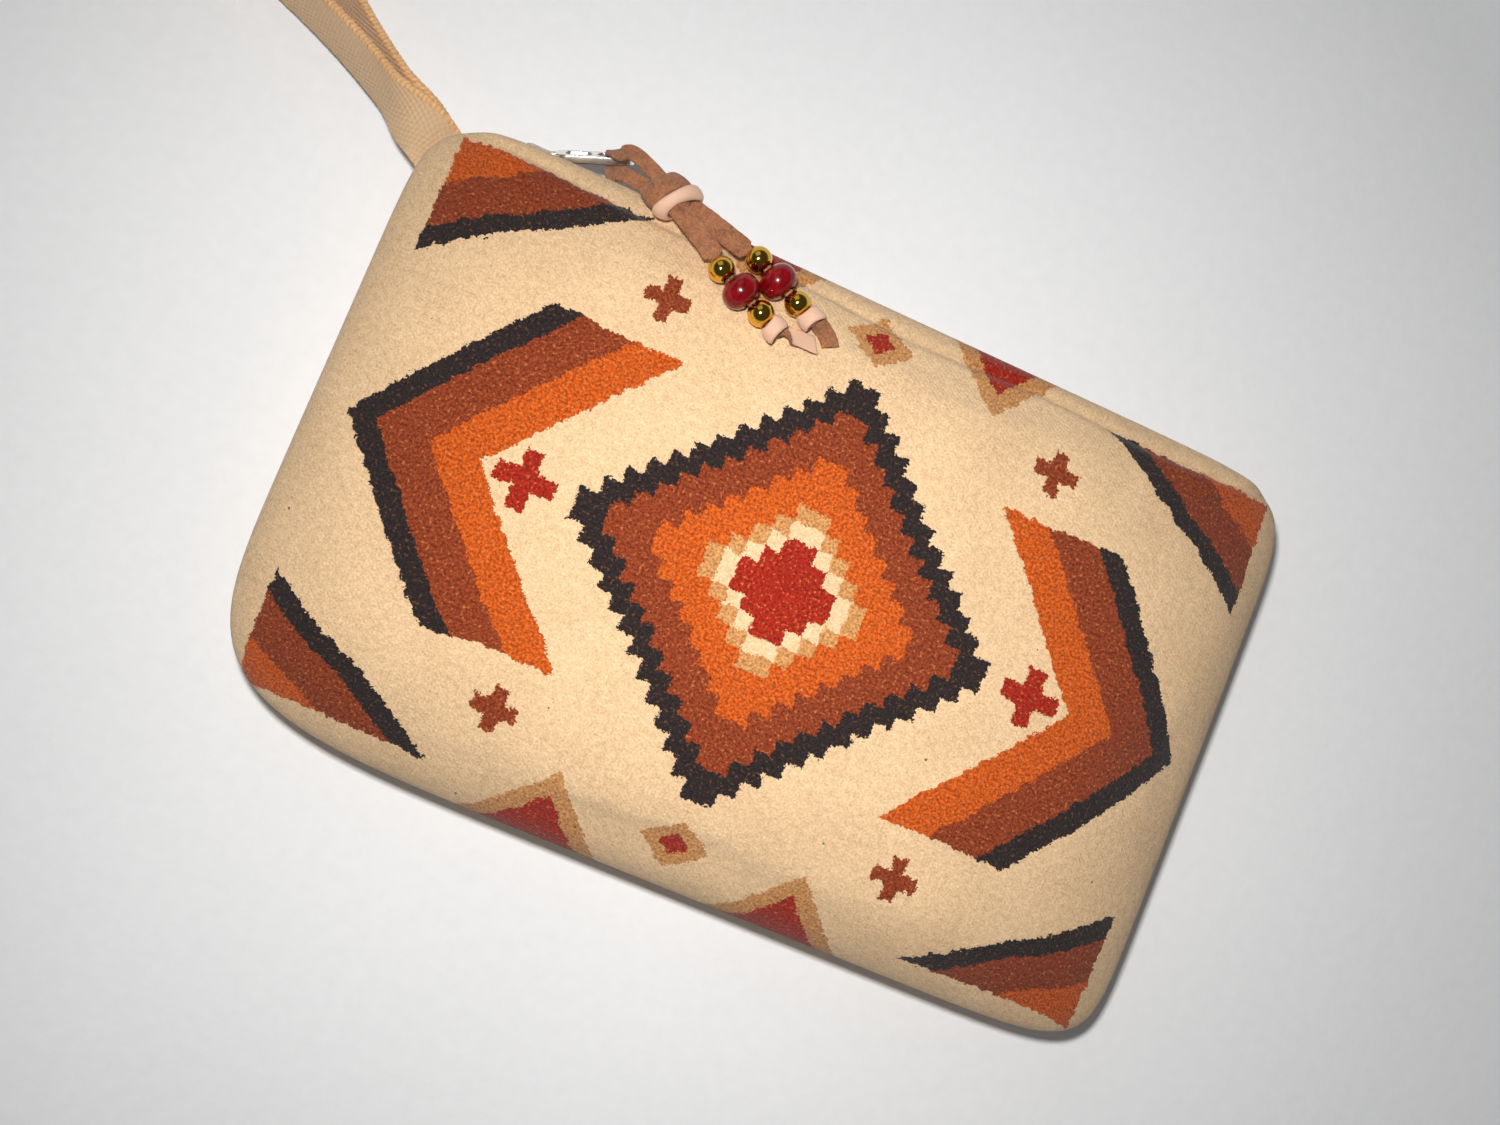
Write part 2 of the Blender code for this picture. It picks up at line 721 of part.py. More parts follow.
def slider_slab(name, outline_points, low_y, high_y):
    mesh = slab_mesh(name, outline_points, high_y - low_y)
    return stand_slab(mesh, Vector((SLIDER_X, (low_y + high_y) / 2, ZIP_HEIGHT)))


def build_slider(carrier, pivot):
    half = SLIDER_LENGTH / 2
    exit_half = COIL_HALF_WIDTH + SLIDER_PLAY + SLIDER_FLANGE
    inset = arc_inset(SLIDER_NOSE)
    plate = mirrored([
        (half, exit_half - SLIDER_CORNER), (half - SLIDER_CORNER, exit_half), (0.0, exit_half),
        (-SLIDER_SHOULDER, SLIDER_HALF_WIDTH), (SLIDER_NOSE - half, SLIDER_HALF_WIDTH),
        (inset - half, SLIDER_HALF_WIDTH - inset), (-half, SLIDER_HALF_WIDTH - SLIDER_NOSE),
    ])
    flange_low = TAPE_FACE + SLIDER_PLAY
    outer = slider_slab("zip_slider", plate, flange_low, OUTER_PLATE_TOP)
    slider = add_object("zip_slider", outer, NICKEL, carrier, pivot)
    channel_half = COIL_HALF_WIDTH + SLIDER_PLAY
    channel = mirrored([
        (half + CUTTER_REACH, channel_half), (0.0, channel_half),
        (-half - CUTTER_REACH, SLIDER_HALF_WIDTH + CLEARANCE),
    ])
    channel_mesh = slider_slab("slider_channel", channel, flange_low - CUTTER_REACH,
                               OUTER_PLATE_UNDER)
    combine(slider, add_cutter("slider_channel", channel_mesh), "DIFFERENCE")
    inner = slider_slab("slider_inner_plate", plate, INNER_PLATE_UNDER, INNER_PLATE_TOP)
    wedge_half = WEDGE_LENGTH / 2
    wedge = mirrored([
        (WEDGE_X + wedge_half, WEDGE_TIP), (WEDGE_X, WEDGE_HALF_WIDTH),
        (WEDGE_X - wedge_half + WEDGE_ROUND, WEDGE_HALF_WIDTH),
        (WEDGE_X - wedge_half, WEDGE_HALF_WIDTH - WEDGE_ROUND),
    ])
    sunk = SLIDER_PLATE / 2
    wedge_mesh = slider_slab("slider_wedge", wedge, INNER_PLATE_UNDER + sunk,
                             OUTER_PLATE_TOP - sunk)
    combine(slider, add_cutter("slider_wedge", wedge_mesh), "UNION")
    combine(slider, add_cutter("slider_inner_plate", inner), "UNION")
    combine(slider, add_cutter("slider_bridge", bridge_mesh()), "UNION")
    shade_round(slider)


def bridge_mesh():
    """The arch over the slider that holds the pull's eye, as a bent strip."""
    foot = OUTER_PLATE_TOP - SLIDER_PLATE / 2
    inset = arc_inset(BRIDGE_ROUND)
    outer = [(BRIDGE_HALF_LENGTH, foot), (BRIDGE_HALF_LENGTH, BRIDGE_TOP - BRIDGE_ROUND),
             (BRIDGE_HALF_LENGTH - inset, BRIDGE_TOP - inset),
             (BRIDGE_HALF_LENGTH - BRIDGE_ROUND, BRIDGE_TOP)]
    inner_half = BRIDGE_HALF_LENGTH - BRIDGE_STRIP
    inner_round = BRIDGE_ROUND - BRIDGE_STRIP
    inset = arc_inset(inner_round)
    inner = [(inner_half - inner_round, BRIDGE_UNDER), (inner_half - inset, BRIDGE_UNDER - inset),
             (inner_half, BRIDGE_UNDER - inner_round), (inner_half, foot)]
    arch = outer + [(-x, y) for x, y in reversed(outer)]
    arch += [(-x, y) for x, y in reversed(inner)] + inner
    mesh = slab_mesh("slider_bridge", arch, BRIDGE_WIDTH)
    mesh.transform(Matrix.Translation(Vector((SLIDER_X, 0, ZIP_HEIGHT))))
    return mesh


def rounded_bar(low_x, high_x, half_width, radius):
    """Outline of a long shape with round corners."""
    points = []
    corners = ((high_x - radius, half_width - radius, 0), (low_x + radius, half_width - radius, 1),
               (low_x + radius, radius - half_width, 2), (high_x - radius, radius - half_width, 3))
    for x, y, quarter in corners:
        for k in range(ROUND_STEPS + 1):
            turn = math.pi / 2 * (quarter + k / ROUND_STEPS)
            points.append((x + radius * math.cos(turn), y + radius * math.sin(turn)))
    return points


def tab_frame():
    """From the tab's own axes (X along it, Y across it, Z through it) to the wristlet."""
    turn = Matrix.Rotation(TAB_SWING, 4, "Z") @ Matrix.Rotation(-TAB_LIFT, 4, "Y")
    return Matrix.Translation(HINGE) @ turn @ Matrix.Rotation(math.pi / 2 + TAB_TWIST, 4, "X")


def build_pull_tab(carrier, pivot):
    frame = tab_frame()
    body = rounded_bar(PLATE_START, TAB_LENGTH, TAB_HALF_WIDTH, TAB_ROUND)
    slot = rounded_bar(SLOT_END - SLOT_LENGTH, SLOT_END, SLOT_HALF_WIDTH, SLOT_ROUND)
    mesh = slab_mesh("pull_tab", body, TAB_THICKNESS, (slot[::-1],))
    mesh.transform(frame)
    tab = add_object("pull_tab", mesh, NICKEL, carrier, pivot)
    recess_start = PLATE_START + 2 * TAB_RIM
    recess_end = SLOT_END - SLOT_LENGTH - TAB_RIM
    for side in (1, -1):
        name = "tab_recess_front" if side > 0 else "tab_recess_back"
        pocket = slab_mesh(name, rounded_bar(recess_start, recess_end, TAB_HALF_WIDTH - TAB_RIM,
                                             RECESS_ROUND), CUTTER_REACH)
        lift = TAB_THICKNESS / 2 - TAB_RECESS + CUTTER_REACH / 2
        pocket.transform(frame @ Matrix.Translation(Vector((0, 0, side * lift))))
        combine(tab, add_cutter(name, pocket), "DIFFERENCE")
    ring = rounded_bar(-EYE_BAR_RADIUS, PLATE_START + EYE_SUNK, EYE_HALF_WIDTH, EYE_BAR_RADIUS)
    hole = rounded_bar(EYE_BAR_RADIUS, PLATE_START, EYE_HOLE_HALF_WIDTH, EYE_HOLE_ROUND)
    eye = slab_mesh("tab_eye", ring, 2 * EYE_BAR_RADIUS, (hole[::-1],))
    eye.transform(frame)
    combine(tab, add_cutter("tab_eye", eye), "UNION")
    shade_round(tab)


# The lace and its beads

def on_front(x, y, lift):
    """A place above the front's face, lifted along the face's own outward direction."""
    step = SLOPE_STEP
    slope_x = (front_height(x + step, y) - front_height(x - step, y)) / (2 * step)
    slope_y = (front_height(x, y + step) - front_height(x, y - step)) / (2 * step)
    outward = Vector((-slope_x, -slope_y, 1.0)).normalized()
    return Vector((x, y, front_height(x, y))) + outward * lift


def bead_places(start):
    """Centres of one strand's three beads, all on one line that clears the front."""
    flat = [start + STRAND_HEADING * (BEAD_STEP * i) for i in range(3)]
    lifted = [on_front(place.x, place.y, BEAD_LIFT) for place in flat]
    fall = (lifted[2] - lifted[0]).normalized()
    return [lifted[1] + fall * (BEAD_STEP * (i - 1)) for i in range(3)]


def bead_profile(radius, half_length, hole, power, count):
    """Half section of a bead, down its outer side from the top of its hole to the bottom."""
    edge = half_length * (1 - (hole / radius) ** power) ** (1 / power)
    points = [(hole, edge)]
    low = math.asin(edge / half_length)
    for k in range(1, count):
        turn = low - 2 * low * k / count
        reach = radius * max(1 - abs(math.sin(turn)) ** power, 0.0) ** (1 / power)
        points.append((reach, half_length * math.sin(turn)))
    points.append((hole, -edge))
    return points


def add_bead(name, look, radius, half_length, hole, power, place, along, carrier, pivot):
    """A turned bead: its half section goes round its hole in a Screw modifier."""
    profile = bead_profile(radius, half_length, hole, power, BEAD_PROFILE_STEPS)
    bm = bmesh.new()
    corners = [bm.verts.new((x, 0, z)) for x, z in profile]
    for first, second in zip(corners, corners[1:] + corners[:1]):
        bm.edges.new((first, second))
    mesh = bpy.data.meshes.new(name)
    bm.to_mesh(mesh)
    bm.free()
    bead = add_object(name, mesh, look, carrier, pivot)
    bead.location = place
    bead.rotation_euler = along.to_track_quat("Z", "Y").to_euler()
    screw = bead.modifiers.new("turned", "SCREW")
    screw.steps = BEAD_STEPS
    screw.render_steps = BEAD_STEPS
    screw.use_merge_vertices = True
    screw.merge_threshold = MERGE_DISTANCE
    shade_round(bead, 50)
    return bead


def wrapped_mesh(name, place, along, core, tube, wraps, slant, count):
    """A knot as wraps of lace side by side round a core: rings lofted along its axis."""
    half = tube * WRAP_PITCH * wraps / 2
    last = WRAP_STEPS * wraps
    rings = []
    for k in range(last + 1):
        height = -half + 2 * half * k / last
        swell = abs(math.sin(math.pi * k / WRAP_STEPS))
        fill = 0.0 if k in (0, last) else WRAP_VALLEY
        reach = core + 2 * tube * mix(fill, 1.0, swell)
        rings.append([
            Vector((reach * math.cos(turn), reach * math.sin(turn),
                    height + slant * reach * math.cos(turn)))
            for turn in (2 * math.pi * (i + 0.5) / count for i in range(count))
        ])
    mesh = loft_mesh(name, rings)
    turned = along.to_track_quat("Z", "Y").to_matrix().to_4x4()
    mesh.transform(Matrix.Translation(place) @ turned)
    return mesh


def loop_route():
    """The lace's way from the knot, round the tab's upper rim through its slot, and back."""
    frame = tab_frame()
    slot = frame @ Vector((SLOT_MIDDLE, 0, 0))
    turned = frame.to_3x3()
    along = turned @ Vector((1, 0, 0))
    up = turned @ Vector((0, 1, 0))
    out = turned @ Vector((0, 0, -1))
    beside = TAB_THICKNESS / 2 + LACE_THICKNESS / 2 + CLEARANCE
    bar = SLOT_HALF_WIDTH - LACE_THICKNESS / 2 - CLEARANCE
    over_hem = POUCH_HALF_HEIGHT + LACE_THICKNESS / 2 + LOOP_HEM_GAP
    top = TAB_HALF_WIDTH
    points = [KNOT + LOOP_END]
    for ahead, above, off in LOOP_FRONT:
        points.append(slot + out * (beside + off) + up * (top + above) + along * ahead)
    points.append(slot + out * beside + up * (top - LOOP_DIP))
    points.append(slot + up * (bar - LOOP_EASE))
    points.append(slot - out * beside + up * (top - LOOP_DIP))
    for ahead, above in LOOP_BEHIND:
        points.append(Vector((slot.x + ahead, over_hem, slot.z + above)))
    points.append(KNOT - LOOP_END)
    return points, along


def strand_route(index):
    """The lace's way from the knot through one strand's beads to its end knot."""
    beads = bead_places(STRAND_STARTS[index])
    fall = (beads[2] - beads[0]).normalized()
    first = beads[0] - fall * (GOLD_BEAD_RADIUS + STRAND_LEAD)
    knot_half = END_KNOT_TUBE * WRAP_PITCH / 2
    end = beads[2] + fall * (GOLD_BEAD_RADIUS + knot_half + CLEARANCE)
    away = (first - KNOT).normalized()
    bow = KNOT.lerp(first, STRAND_BOW_SHARE) + Vector((0, 0, STRAND_BOW))
    return [KNOT + away * STRAND_ROOT, bow, first, *beads, end]


def build_lace(carrier, pivot):
    points, along = loop_route()
    path = smooth_path(points, LOOP_STEPS)
    count = len(path)
    acrosses = carried(path, count // 2, along)
    mesh = strip_mesh("lace", path, acrosses, [LACE_WIDTH] * count, [LACE_THICKNESS] * count)
    lace = add_object("lace", mesh, SUEDE, carrier, pivot)
    down = (strand_route(0)[2] + strand_route(1)[2]) / 2 - KNOT
    down.normalize()
    knot = wrapped_mesh("knot", KNOT, down, KNOT_CORE, KNOT_TUBE, 2, KNOT_SLANT, KNOT_SIDES)
    combine(lace, add_cutter("knot", knot), "UNION")
    for index in range(2):
        add_strand(lace, index)
    shade_round(lace, 50)


def add_strand(lace, index):
    """One strand of the lace with its end knot and its short tail."""
    route = strand_route(index)
    path = smooth_path(route, STRAND_STEPS)
    beads = bead_places(STRAND_STARTS[index])
    fall = (beads[2] - beads[0]).normalized()
    narrow_from = (route[2] - route[0]).length
    across = fall.cross(Vector((0, 0, 1))).normalized()
    widths = []
    thicknesses = []
    for place in path:
        done = (place - route[0]).length / narrow_from
        share = smoothstep(STRAND_NARROW_SHARE, 1.0, done)
        widths.append(mix(LACE_WIDTH, STRAND_WIDTH, share))
        thicknesses.append(mix(LACE_THICKNESS, STRAND_THICKNESS, share))
    name = f"strand_{index + 1}"
    acrosses = carried(path, len(path) - 1, across)
    strand = strip_mesh(name, path, acrosses, widths, thicknesses)
    combine(lace, add_cutter(name, strand), "UNION")
    end = route[-1]
    name = f"end_knot_{index + 1}"
    knot = wrapped_mesh(name, end, fall, END_KNOT_CORE, END_KNOT_TUBE, 1, 0.0, END_KNOT_SIDES)
    combine(lace, add_cutter(name, knot), "UNION")
    name = f"tail_{index + 1}"
    last = len(TAIL_WIDTHS) - 1
    tail_path = [end + fall * (TAIL_LENGTH * i / last) for i in range(last + 1)]
    tip = tail_path[last]
    lowest = front_height(tip.x, tip.y) + TASSEL_REST + LACE_THICKNESS
    tip.z = max(tip.z - TAIL_DROP, lowest)
    tail = strip_mesh(name, tail_path, [across] * len(tail_path), TAIL_WIDTHS,
                      [LACE_THICKNESS] * len(tail_path))
    combine(lace, add_cutter(name, tail), "UNION")


def build_beads(carrier, pivot):
    gold = 1
    for index, start in enumerate(STRAND_STARTS):
        places = bead_places(start)
        fall = (places[2] - places[0]).normalized()
        for place in (places[0], places[2]):
            add_bead(f"gold_bead_{gold}", GOLD, GOLD_BEAD_RADIUS, GOLD_BEAD_RADIUS,
                     GOLD_BEAD_HOLE, GOLD_BEAD_POWER, place, fall, carrier, pivot)
            gold += 1
        add_bead(f"red_bead_{index + 1}", DEEP_RED, RED_BEAD_RADIUS, RED_BEAD_HALF_LENGTH,
                 RED_BEAD_HOLE, RED_BEAD_POWER, places[1], fall, carrier, pivot)


# The wrist strap

def strap_base():
    """Where the strap leaves the seam: the outline's place that faces the strap's heading."""
    heading = Vector((math.cos(STRAP_HEADING), math.sin(STRAP_HEADING), 0))
    around = outline(POUCH_HALF_WIDTH, POUCH_HALF_HEIGHT, SEARCH_POINTS)
    place, _ = max(around, key=lambda entry: entry[1].dot(heading))
    return place, heading


def strap_gap(share):
    """Half the distance between the strap's two plies, along the loop from 0 to 1."""
    closed = STRAP_THICKNESS / 2 + CLEARANCE / 2
    opened = STRAP_OPENING / 2
    closed += STRAP_SPREAD * smoothstep(*STRAP_SPREAD_SPAN, share)
    swell = smoothstep(*STRAP_SWELL_SPAN, share)
    end = max((share - STRAP_BEND_SHARE) / (1.0 - STRAP_BEND_SHARE), 0.0)
    tip = math.sqrt(max(1.0 - end ** 2, 0.0))
    return mix(closed, opened, swell) * tip


def build_strap():
    """Webbing folded to a loop: flat in the seam, then standing on its edge on the table."""
    base, heading = strap_base()
    sideways = Vector((-heading.y, heading.x, 0)) * -1
    up = Vector((0, 0, 1))
    quarter = math.pi / 2 / STRAP_STEPS
    shares = [math.sin(quarter * k) ** STRAP_CROWDING for k in range(STRAP_STEPS + 1)]
    centers = []
    acrosses = []
    thicknesses = []
    for ply in (1, -1):
        order = shares if ply > 0 else shares[-2::-1]
        for share in order:
            run = share * (STRAP_LOOP_LENGTH + STRAP_TUCK) - STRAP_TUCK
            lean = mix(math.pi / 2, STRAP_LEAN, smoothstep(*STRAP_TURN_SPAN, share))
            lean *= 1.0 - smoothstep(*STRAP_UPRIGHT_SPAN, share)
            part_lean = lean * (1.0 - smoothstep(*STRAP_LEVEL_SPAN, share))
            across = sideways * math.sin(lean) + up * math.cos(lean)
            apart = sideways * math.cos(part_lean) - up * math.sin(part_lean)
            rest = STRAP_WIDTH / 2 * math.cos(lean) + STRAP_THICKNESS / 2 + CLEARANCE
            relief = smoothstep(-STRAP_TUCK, STRAP_PRESS_LENGTH, run)
            fullness = mix(STRAP_PRESSED_SHARE, 1.0, relief)
            gap = strap_gap(share) * fullness
            rest += gap * math.sin(part_lean)
            height = mix(SEAM_HEIGHT, rest, smoothstep(0.0, STRAP_DROP_LENGTH, run))
            centers.append(base + heading * run + up * height + apart * (gap * ply))
            acrosses.append(across)
            thicknesses.append(STRAP_THICKNESS * fullness)
    count = len(centers)
    mesh = strip_mesh("wrist_strap", centers, acrosses, [STRAP_WIDTH] * count, thicknesses)
    strap = add_object("wrist_strap", mesh, WEBBING)
    shade_round(strap, 50)


def build():
    build_panels()
    build_lining()
    build_tapes()
    build_coils()
    build_stops()
    build_strap()
    slider_place = Vector((SLIDER_X, TAPE_FACE, ZIP_HEIGHT))
    slider_carrier = add_empty("slider_carrier", slider_place)
    pull_carrier = add_empty("pull_carrier", HINGE, slider_carrier, slider_place)
    build_slider(slider_carrier, slider_place)
    build_pull_tab(pull_carrier, HINGE)
    build_lace(pull_carrier, HINGE)
    build_beads(pull_carrier, HINGE)


build()
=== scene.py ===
# %% [markdown]
# A wool wristlet with a zip, a webbing wrist strap and a beaded suede pull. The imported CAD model
# is loaded first and stays as it is: it carries the sizes, the moving bodies and the collision
# shapes. Everything below gives it the looks of the real thing, piece by piece.

# %% Load the frame
import math

import bmesh
import bpy
import numpy as np
from mathutils import Matrix, Quaternion, Vector


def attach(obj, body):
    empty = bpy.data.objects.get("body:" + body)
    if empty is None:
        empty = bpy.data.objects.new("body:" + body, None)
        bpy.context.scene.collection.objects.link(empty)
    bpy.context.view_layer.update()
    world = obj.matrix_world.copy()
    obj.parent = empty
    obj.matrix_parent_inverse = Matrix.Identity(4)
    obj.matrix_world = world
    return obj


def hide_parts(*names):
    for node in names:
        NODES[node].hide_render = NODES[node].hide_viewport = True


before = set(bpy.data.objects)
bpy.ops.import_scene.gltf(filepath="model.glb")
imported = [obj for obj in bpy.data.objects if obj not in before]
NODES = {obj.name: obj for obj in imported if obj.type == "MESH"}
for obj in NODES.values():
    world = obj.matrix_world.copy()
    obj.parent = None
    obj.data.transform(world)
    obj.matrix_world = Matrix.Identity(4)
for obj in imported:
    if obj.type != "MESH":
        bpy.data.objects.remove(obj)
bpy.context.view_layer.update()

# %% [markdown]
# The camera comes first, because everything is judged from it. The photograph was taken by hand
# from above, with the zip edge running down to the right. Its place and turn were fitted to the
# pouch's corners, so they are written here as three directions and a point, in metres.

# %% Camera
EYE = Vector((-0.0852, -0.0459, 0.4876))
LOOK = Vector((0.1650, 0.1064, -0.9805)).normalized()
PICTURE_RIGHT = Vector((0.9049, 0.3792, 0.1934)).normalized()
PICTURE_UP = PICTURE_RIGHT.cross(LOOK).normalized()
SENSOR_WIDTH = 36.0
HALF_VIEW = math.radians(20)


def add_object(name, data):
    """An object in the scene for a mesh, a curve, a lamp or a camera."""
    made = bpy.data.objects.new(name, data)
    bpy.context.scene.collection.objects.link(made)
    return made


camera_data = bpy.data.cameras.new("camera")
camera_data.sensor_width = SENSOR_WIDTH
camera_data.lens = SENSOR_WIDTH / 2 / math.tan(HALF_VIEW)
camera_data.clip_start = 0.01
camera = add_object("camera", camera_data)
axes = Matrix((PICTURE_RIGHT, PICTURE_UP, -LOOK)).transposed()
camera.matrix_world = Matrix.Translation(EYE) @ axes.to_4x4()
bpy.context.scene.camera = camera
print("lens:", round(camera_data.lens, 1), "mm")

# %% [markdown]
# Colours are easiest to judge as the 0 to 255 values of a picture, but shaders work with
# linear light, so one helper turns the first into the second.

# %% Colours
def from_picture(red, green, blue):
    """A colour read from a picture, as the shader's linear red, green, blue and alpha."""
    parts = []
    for value in (red, green, blue):
        share = value / 255
        parts.append(share / 12.92 if share <= 0.04045 else ((share + 0.055) / 1.055) ** 2.4)
    return (*parts, 1.0)


CREAM = from_picture(238, 201, 157)
LIGHT_TAN = from_picture(204, 145, 88)
ORANGE = from_picture(200, 86, 19)
RUST = from_picture(140, 58, 27)
BRICK = from_picture(162, 34, 14)
BLACK_BROWN = from_picture(42, 33, 33)
SUEDE_BROWN = from_picture(160, 106, 74)
GRAIN_PINK = from_picture(226, 184, 156)
WEBBING_TAN = from_picture(234, 202, 164)
WEBBING_LIGHT = from_picture(228, 182, 132)
print("cream:", [round(part, 3) for part in CREAM])

# %% [markdown]
# Shader trees are quicker to read as sums than as lists of nodes. The small class below wraps a
# socket, so that a pattern can be written as a formula and still ends up as ordinary Math nodes.

# %% Sums made of Math nodes
class Term:
    """A number that comes from a socket and takes part in sums."""

    def __init__(self, tree, socket):
        self.tree = tree
        self.socket = socket

    def step(self, operation, *others):
        node = self.tree.nodes.new("ShaderNodeMath")
        node.operation = operation
        for slot, value in zip(node.inputs, (self, *others)):
            plug(self.tree, value, slot)
        return Term(self.tree, node.outputs[0])

    def __add__(self, other):
        return self.step("ADD", other)

    def __sub__(self, other):
        return self.step("SUBTRACT", other)

    def __mul__(self, other):
        return self.step("MULTIPLY", other)

    def __truediv__(self, other):
        return self.step("DIVIDE", other)

    def size(self):
        return self.step("ABSOLUTE")

    def below(self, other):
        return self.step("LESS_THAN", other)

    def above(self, other):
        return self.step("GREATER_THAN", other)

    def larger(self, other):
        return self.step("MAXIMUM", other)

    def wave(self):
        return self.step("SINE")

    def stepped(self, cell):
        """The value held at the middle of its cell, as threads do on a loom."""
        return self.step("SNAP", cell) + cell / 2


def plug(tree, value, slot):
    """Link a term or a socket to a slot, or set the slot to a plain value."""
    if isinstance(value, Term):
        tree.links.new(value.socket, slot)
    elif isinstance(value, bpy.types.NodeSocket):
        tree.links.new(value, slot)
    else:
        slot.default_value = value


print("sums are written with the class", Term.__name__)

# %% [markdown]
# These helpers wrap one node each, so that a material below reads as a recipe: a noise, scattered
# dots, a range, a blend of two colours.

# %% Helpers for shader nodes
def noise(tree, place, scale, detail=2.0, roughness=0.5):
    """Soft random values: scale is how many waves there are in a metre."""
    node = tree.nodes.new("ShaderNodeTexNoise")
    plug(tree, place, node.inputs["Vector"])
    plug(tree, scale, node.inputs["Scale"])
    node.inputs["Detail"].default_value = detail
    node.inputs["Roughness"].default_value = roughness
    return Term(tree, node.outputs["Fac"])


def specks(tree, place, scale):
    """How far each point is from the nearest of many scattered dots."""
    node = tree.nodes.new("ShaderNodeTexVoronoi")
    plug(tree, place, node.inputs["Vector"])
    plug(tree, scale, node.inputs["Scale"])
    return Term(tree, node.outputs["Distance"])


def spread(tree, value, low, high, to_low=0.0, to_high=1.0):
    """A value between low and high, spread evenly from to_low to to_high."""
    node = tree.nodes.new("ShaderNodeMapRange")
    for label, part in (("Value", value), ("From Min", low), ("From Max", high),
                        ("To Min", to_low), ("To Max", to_high)):
        plug(tree, part, node.inputs[label])
    return Term(tree, node.outputs["Result"])


def blend_colors(tree, share, first, second, mode="MIX"):
    node = tree.nodes.new("ShaderNodeMix")
    node.data_type = "RGBA"
    node.blend_type = mode
    plug(tree, share, node.inputs[0])
    plug(tree, first, node.inputs[6])
    plug(tree, second, node.inputs[7])
    return node.outputs[2]


def split_place(tree, place):
    """The x, y and z of a place, as three terms."""
    node = tree.nodes.new("ShaderNodeSeparateXYZ")
    plug(tree, place, node.inputs[0])
    return [Term(tree, socket) for socket in node.outputs]


print("node helpers ready")

# %% [markdown]
# A shader group is an effect that more than one material can use, with named inputs and outputs.
# The helpers here make a group or a material, put a group into a material, and give a material
# its fine relief.

# %% Helpers for groups and materials
def make_group(name, inputs, outputs):
    """An empty shader group: returns its tree, its input node and its output node."""
    tree = bpy.data.node_groups.new(name, "ShaderNodeTree")
    for label, kind, value in inputs:
        socket = tree.interface.new_socket(name=label, in_out="INPUT", socket_type=kind)
        if value is not None:
            socket.default_value = value
    for label, kind in outputs:
        tree.interface.new_socket(name=label, in_out="OUTPUT", socket_type=kind)
    return tree, tree.nodes.new("NodeGroupInput"), tree.nodes.new("NodeGroupOutput")


def new_material(name):
    """A material with its Principled shader: returns the material, its tree and the shader."""
    made = bpy.data.materials.new(name)
    made.use_nodes = True
    return made, made.node_tree, made.node_tree.nodes["Principled BSDF"]


def place_group(tree, group, **values):
    """A shader group in a material, with its own values for the group's inputs."""
    node = tree.nodes.new("ShaderNodeGroup")
    node.node_tree = group
    for label, value in values.items():
        plug(tree, value, node.inputs[label])
    return node


def object_place(tree):
    return tree.nodes.new("ShaderNodeTexCoord").outputs["Object"]


def add_bump(tree, shader, height, distance, strength=1.0):
    node = tree.nodes.new("ShaderNodeBump")
    node.inputs["Distance"].default_value = distance
    node.inputs["Strength"].default_value = strength
    plug(tree, height, node.inputs["Height"])
    tree.links.new(node.outputs["Normal"], shader.inputs["Normal"])


print("material helpers ready")

# %% [markdown]
# The pouch is two wool panels sewn along three sides, with the zip in the fourth. Its sizes are
# those of the CAD source, in metres. The corners' numbers say how square they are, and the two
# panels differ in how flat their middle is and how steeply they fall to the edge.

# %% Sizes of the pouch
HALF_WIDTH = 0.1125
HALF_HEIGHT = 0.0716
THICKNESS = 0.036
ZIP_CORNER = 12.0
STRAP_SIDE_CORNER = 5.8
FAR_SIDE_CORNER = 12.0
SEAM_HEIGHT = 0.0153
ZIP_HEIGHT = 0.016
WOOL = 0.0016
CLEARANCE = 0.0003
SEAM_ROLL = 0.0030
SEAM_ALLOWANCE = 0.0040
HEM_ALLOWANCE = 0.0012
SEAM_BAND = 0.0011
HEM_BAND = 0.0028
FOLD_ROLL = WOOL + CLEARANCE / 2
ZIP_FOLD_HALF = 0.0055
ZIP_OPEN_SHARE = 0.865
ZIP_SHUT_SHARE = 0.945
BAND_FULL_SHARE = 0.94
CORNER_PINCH = 0.22
PINCH_POWER = 6
FRONT_FLAT = 0.30
FRONT_SHOULDER = 3.0
BACK_FLAT = 0.62
BACK_SHOULDER = 2.5
print("pouch:", 2 * HALF_WIDTH, "by", 2 * HALF_HEIGHT, "by", THICKNESS, "m")

# %% [markdown]
# The formulas are those of the CAD source too: an outline like a rectangle with round corners, a
# crown that rises from it, and an edge that rolls under at the seam or is hemmed along the zip.

# %% The pouch's form
def smoothstep(low, high, value):
    share = np.clip((value - low) / (high - low), 0.0, 1.0)
    return share * share * (3.0 - 2.0 * share)


def mix(first, second, share):
    return first + (second - first) * share


def corner_power(x, y):
    """How square the outline's corner is on this side: the higher, the squarer."""
    return np.where(y > 0, ZIP_CORNER, np.where(x < 0, STRAP_SIDE_CORNER, FAR_SIDE_CORNER))


def level(x, y):
    """How far out a place is: 0 at the middle and 1 on the outline."""
    power = corner_power(x, y)
    share = np.abs(x / HALF_WIDTH) ** power + np.abs(y / HALF_HEIGHT) ** power
    return share ** (1 / power)


def zip_share(x, y):
    """1 along the zip, where the wool is hemmed, and 0 where it is sewn."""
    out = np.abs(x) / HALF_WIDTH
    return np.where(y > 0, 1.0 - smoothstep(ZIP_OPEN_SHARE, ZIP_SHUT_SHARE, out), 0.0)


def band_share(x, y):
    """1 where the panel's edge has the hem's height, and 0 where it has the seam's."""
    out = np.abs(x) / HALF_WIDTH
    return np.where(y > 0, 1.0 - smoothstep(BAND_FULL_SHARE, 1.0, out), 0.0)


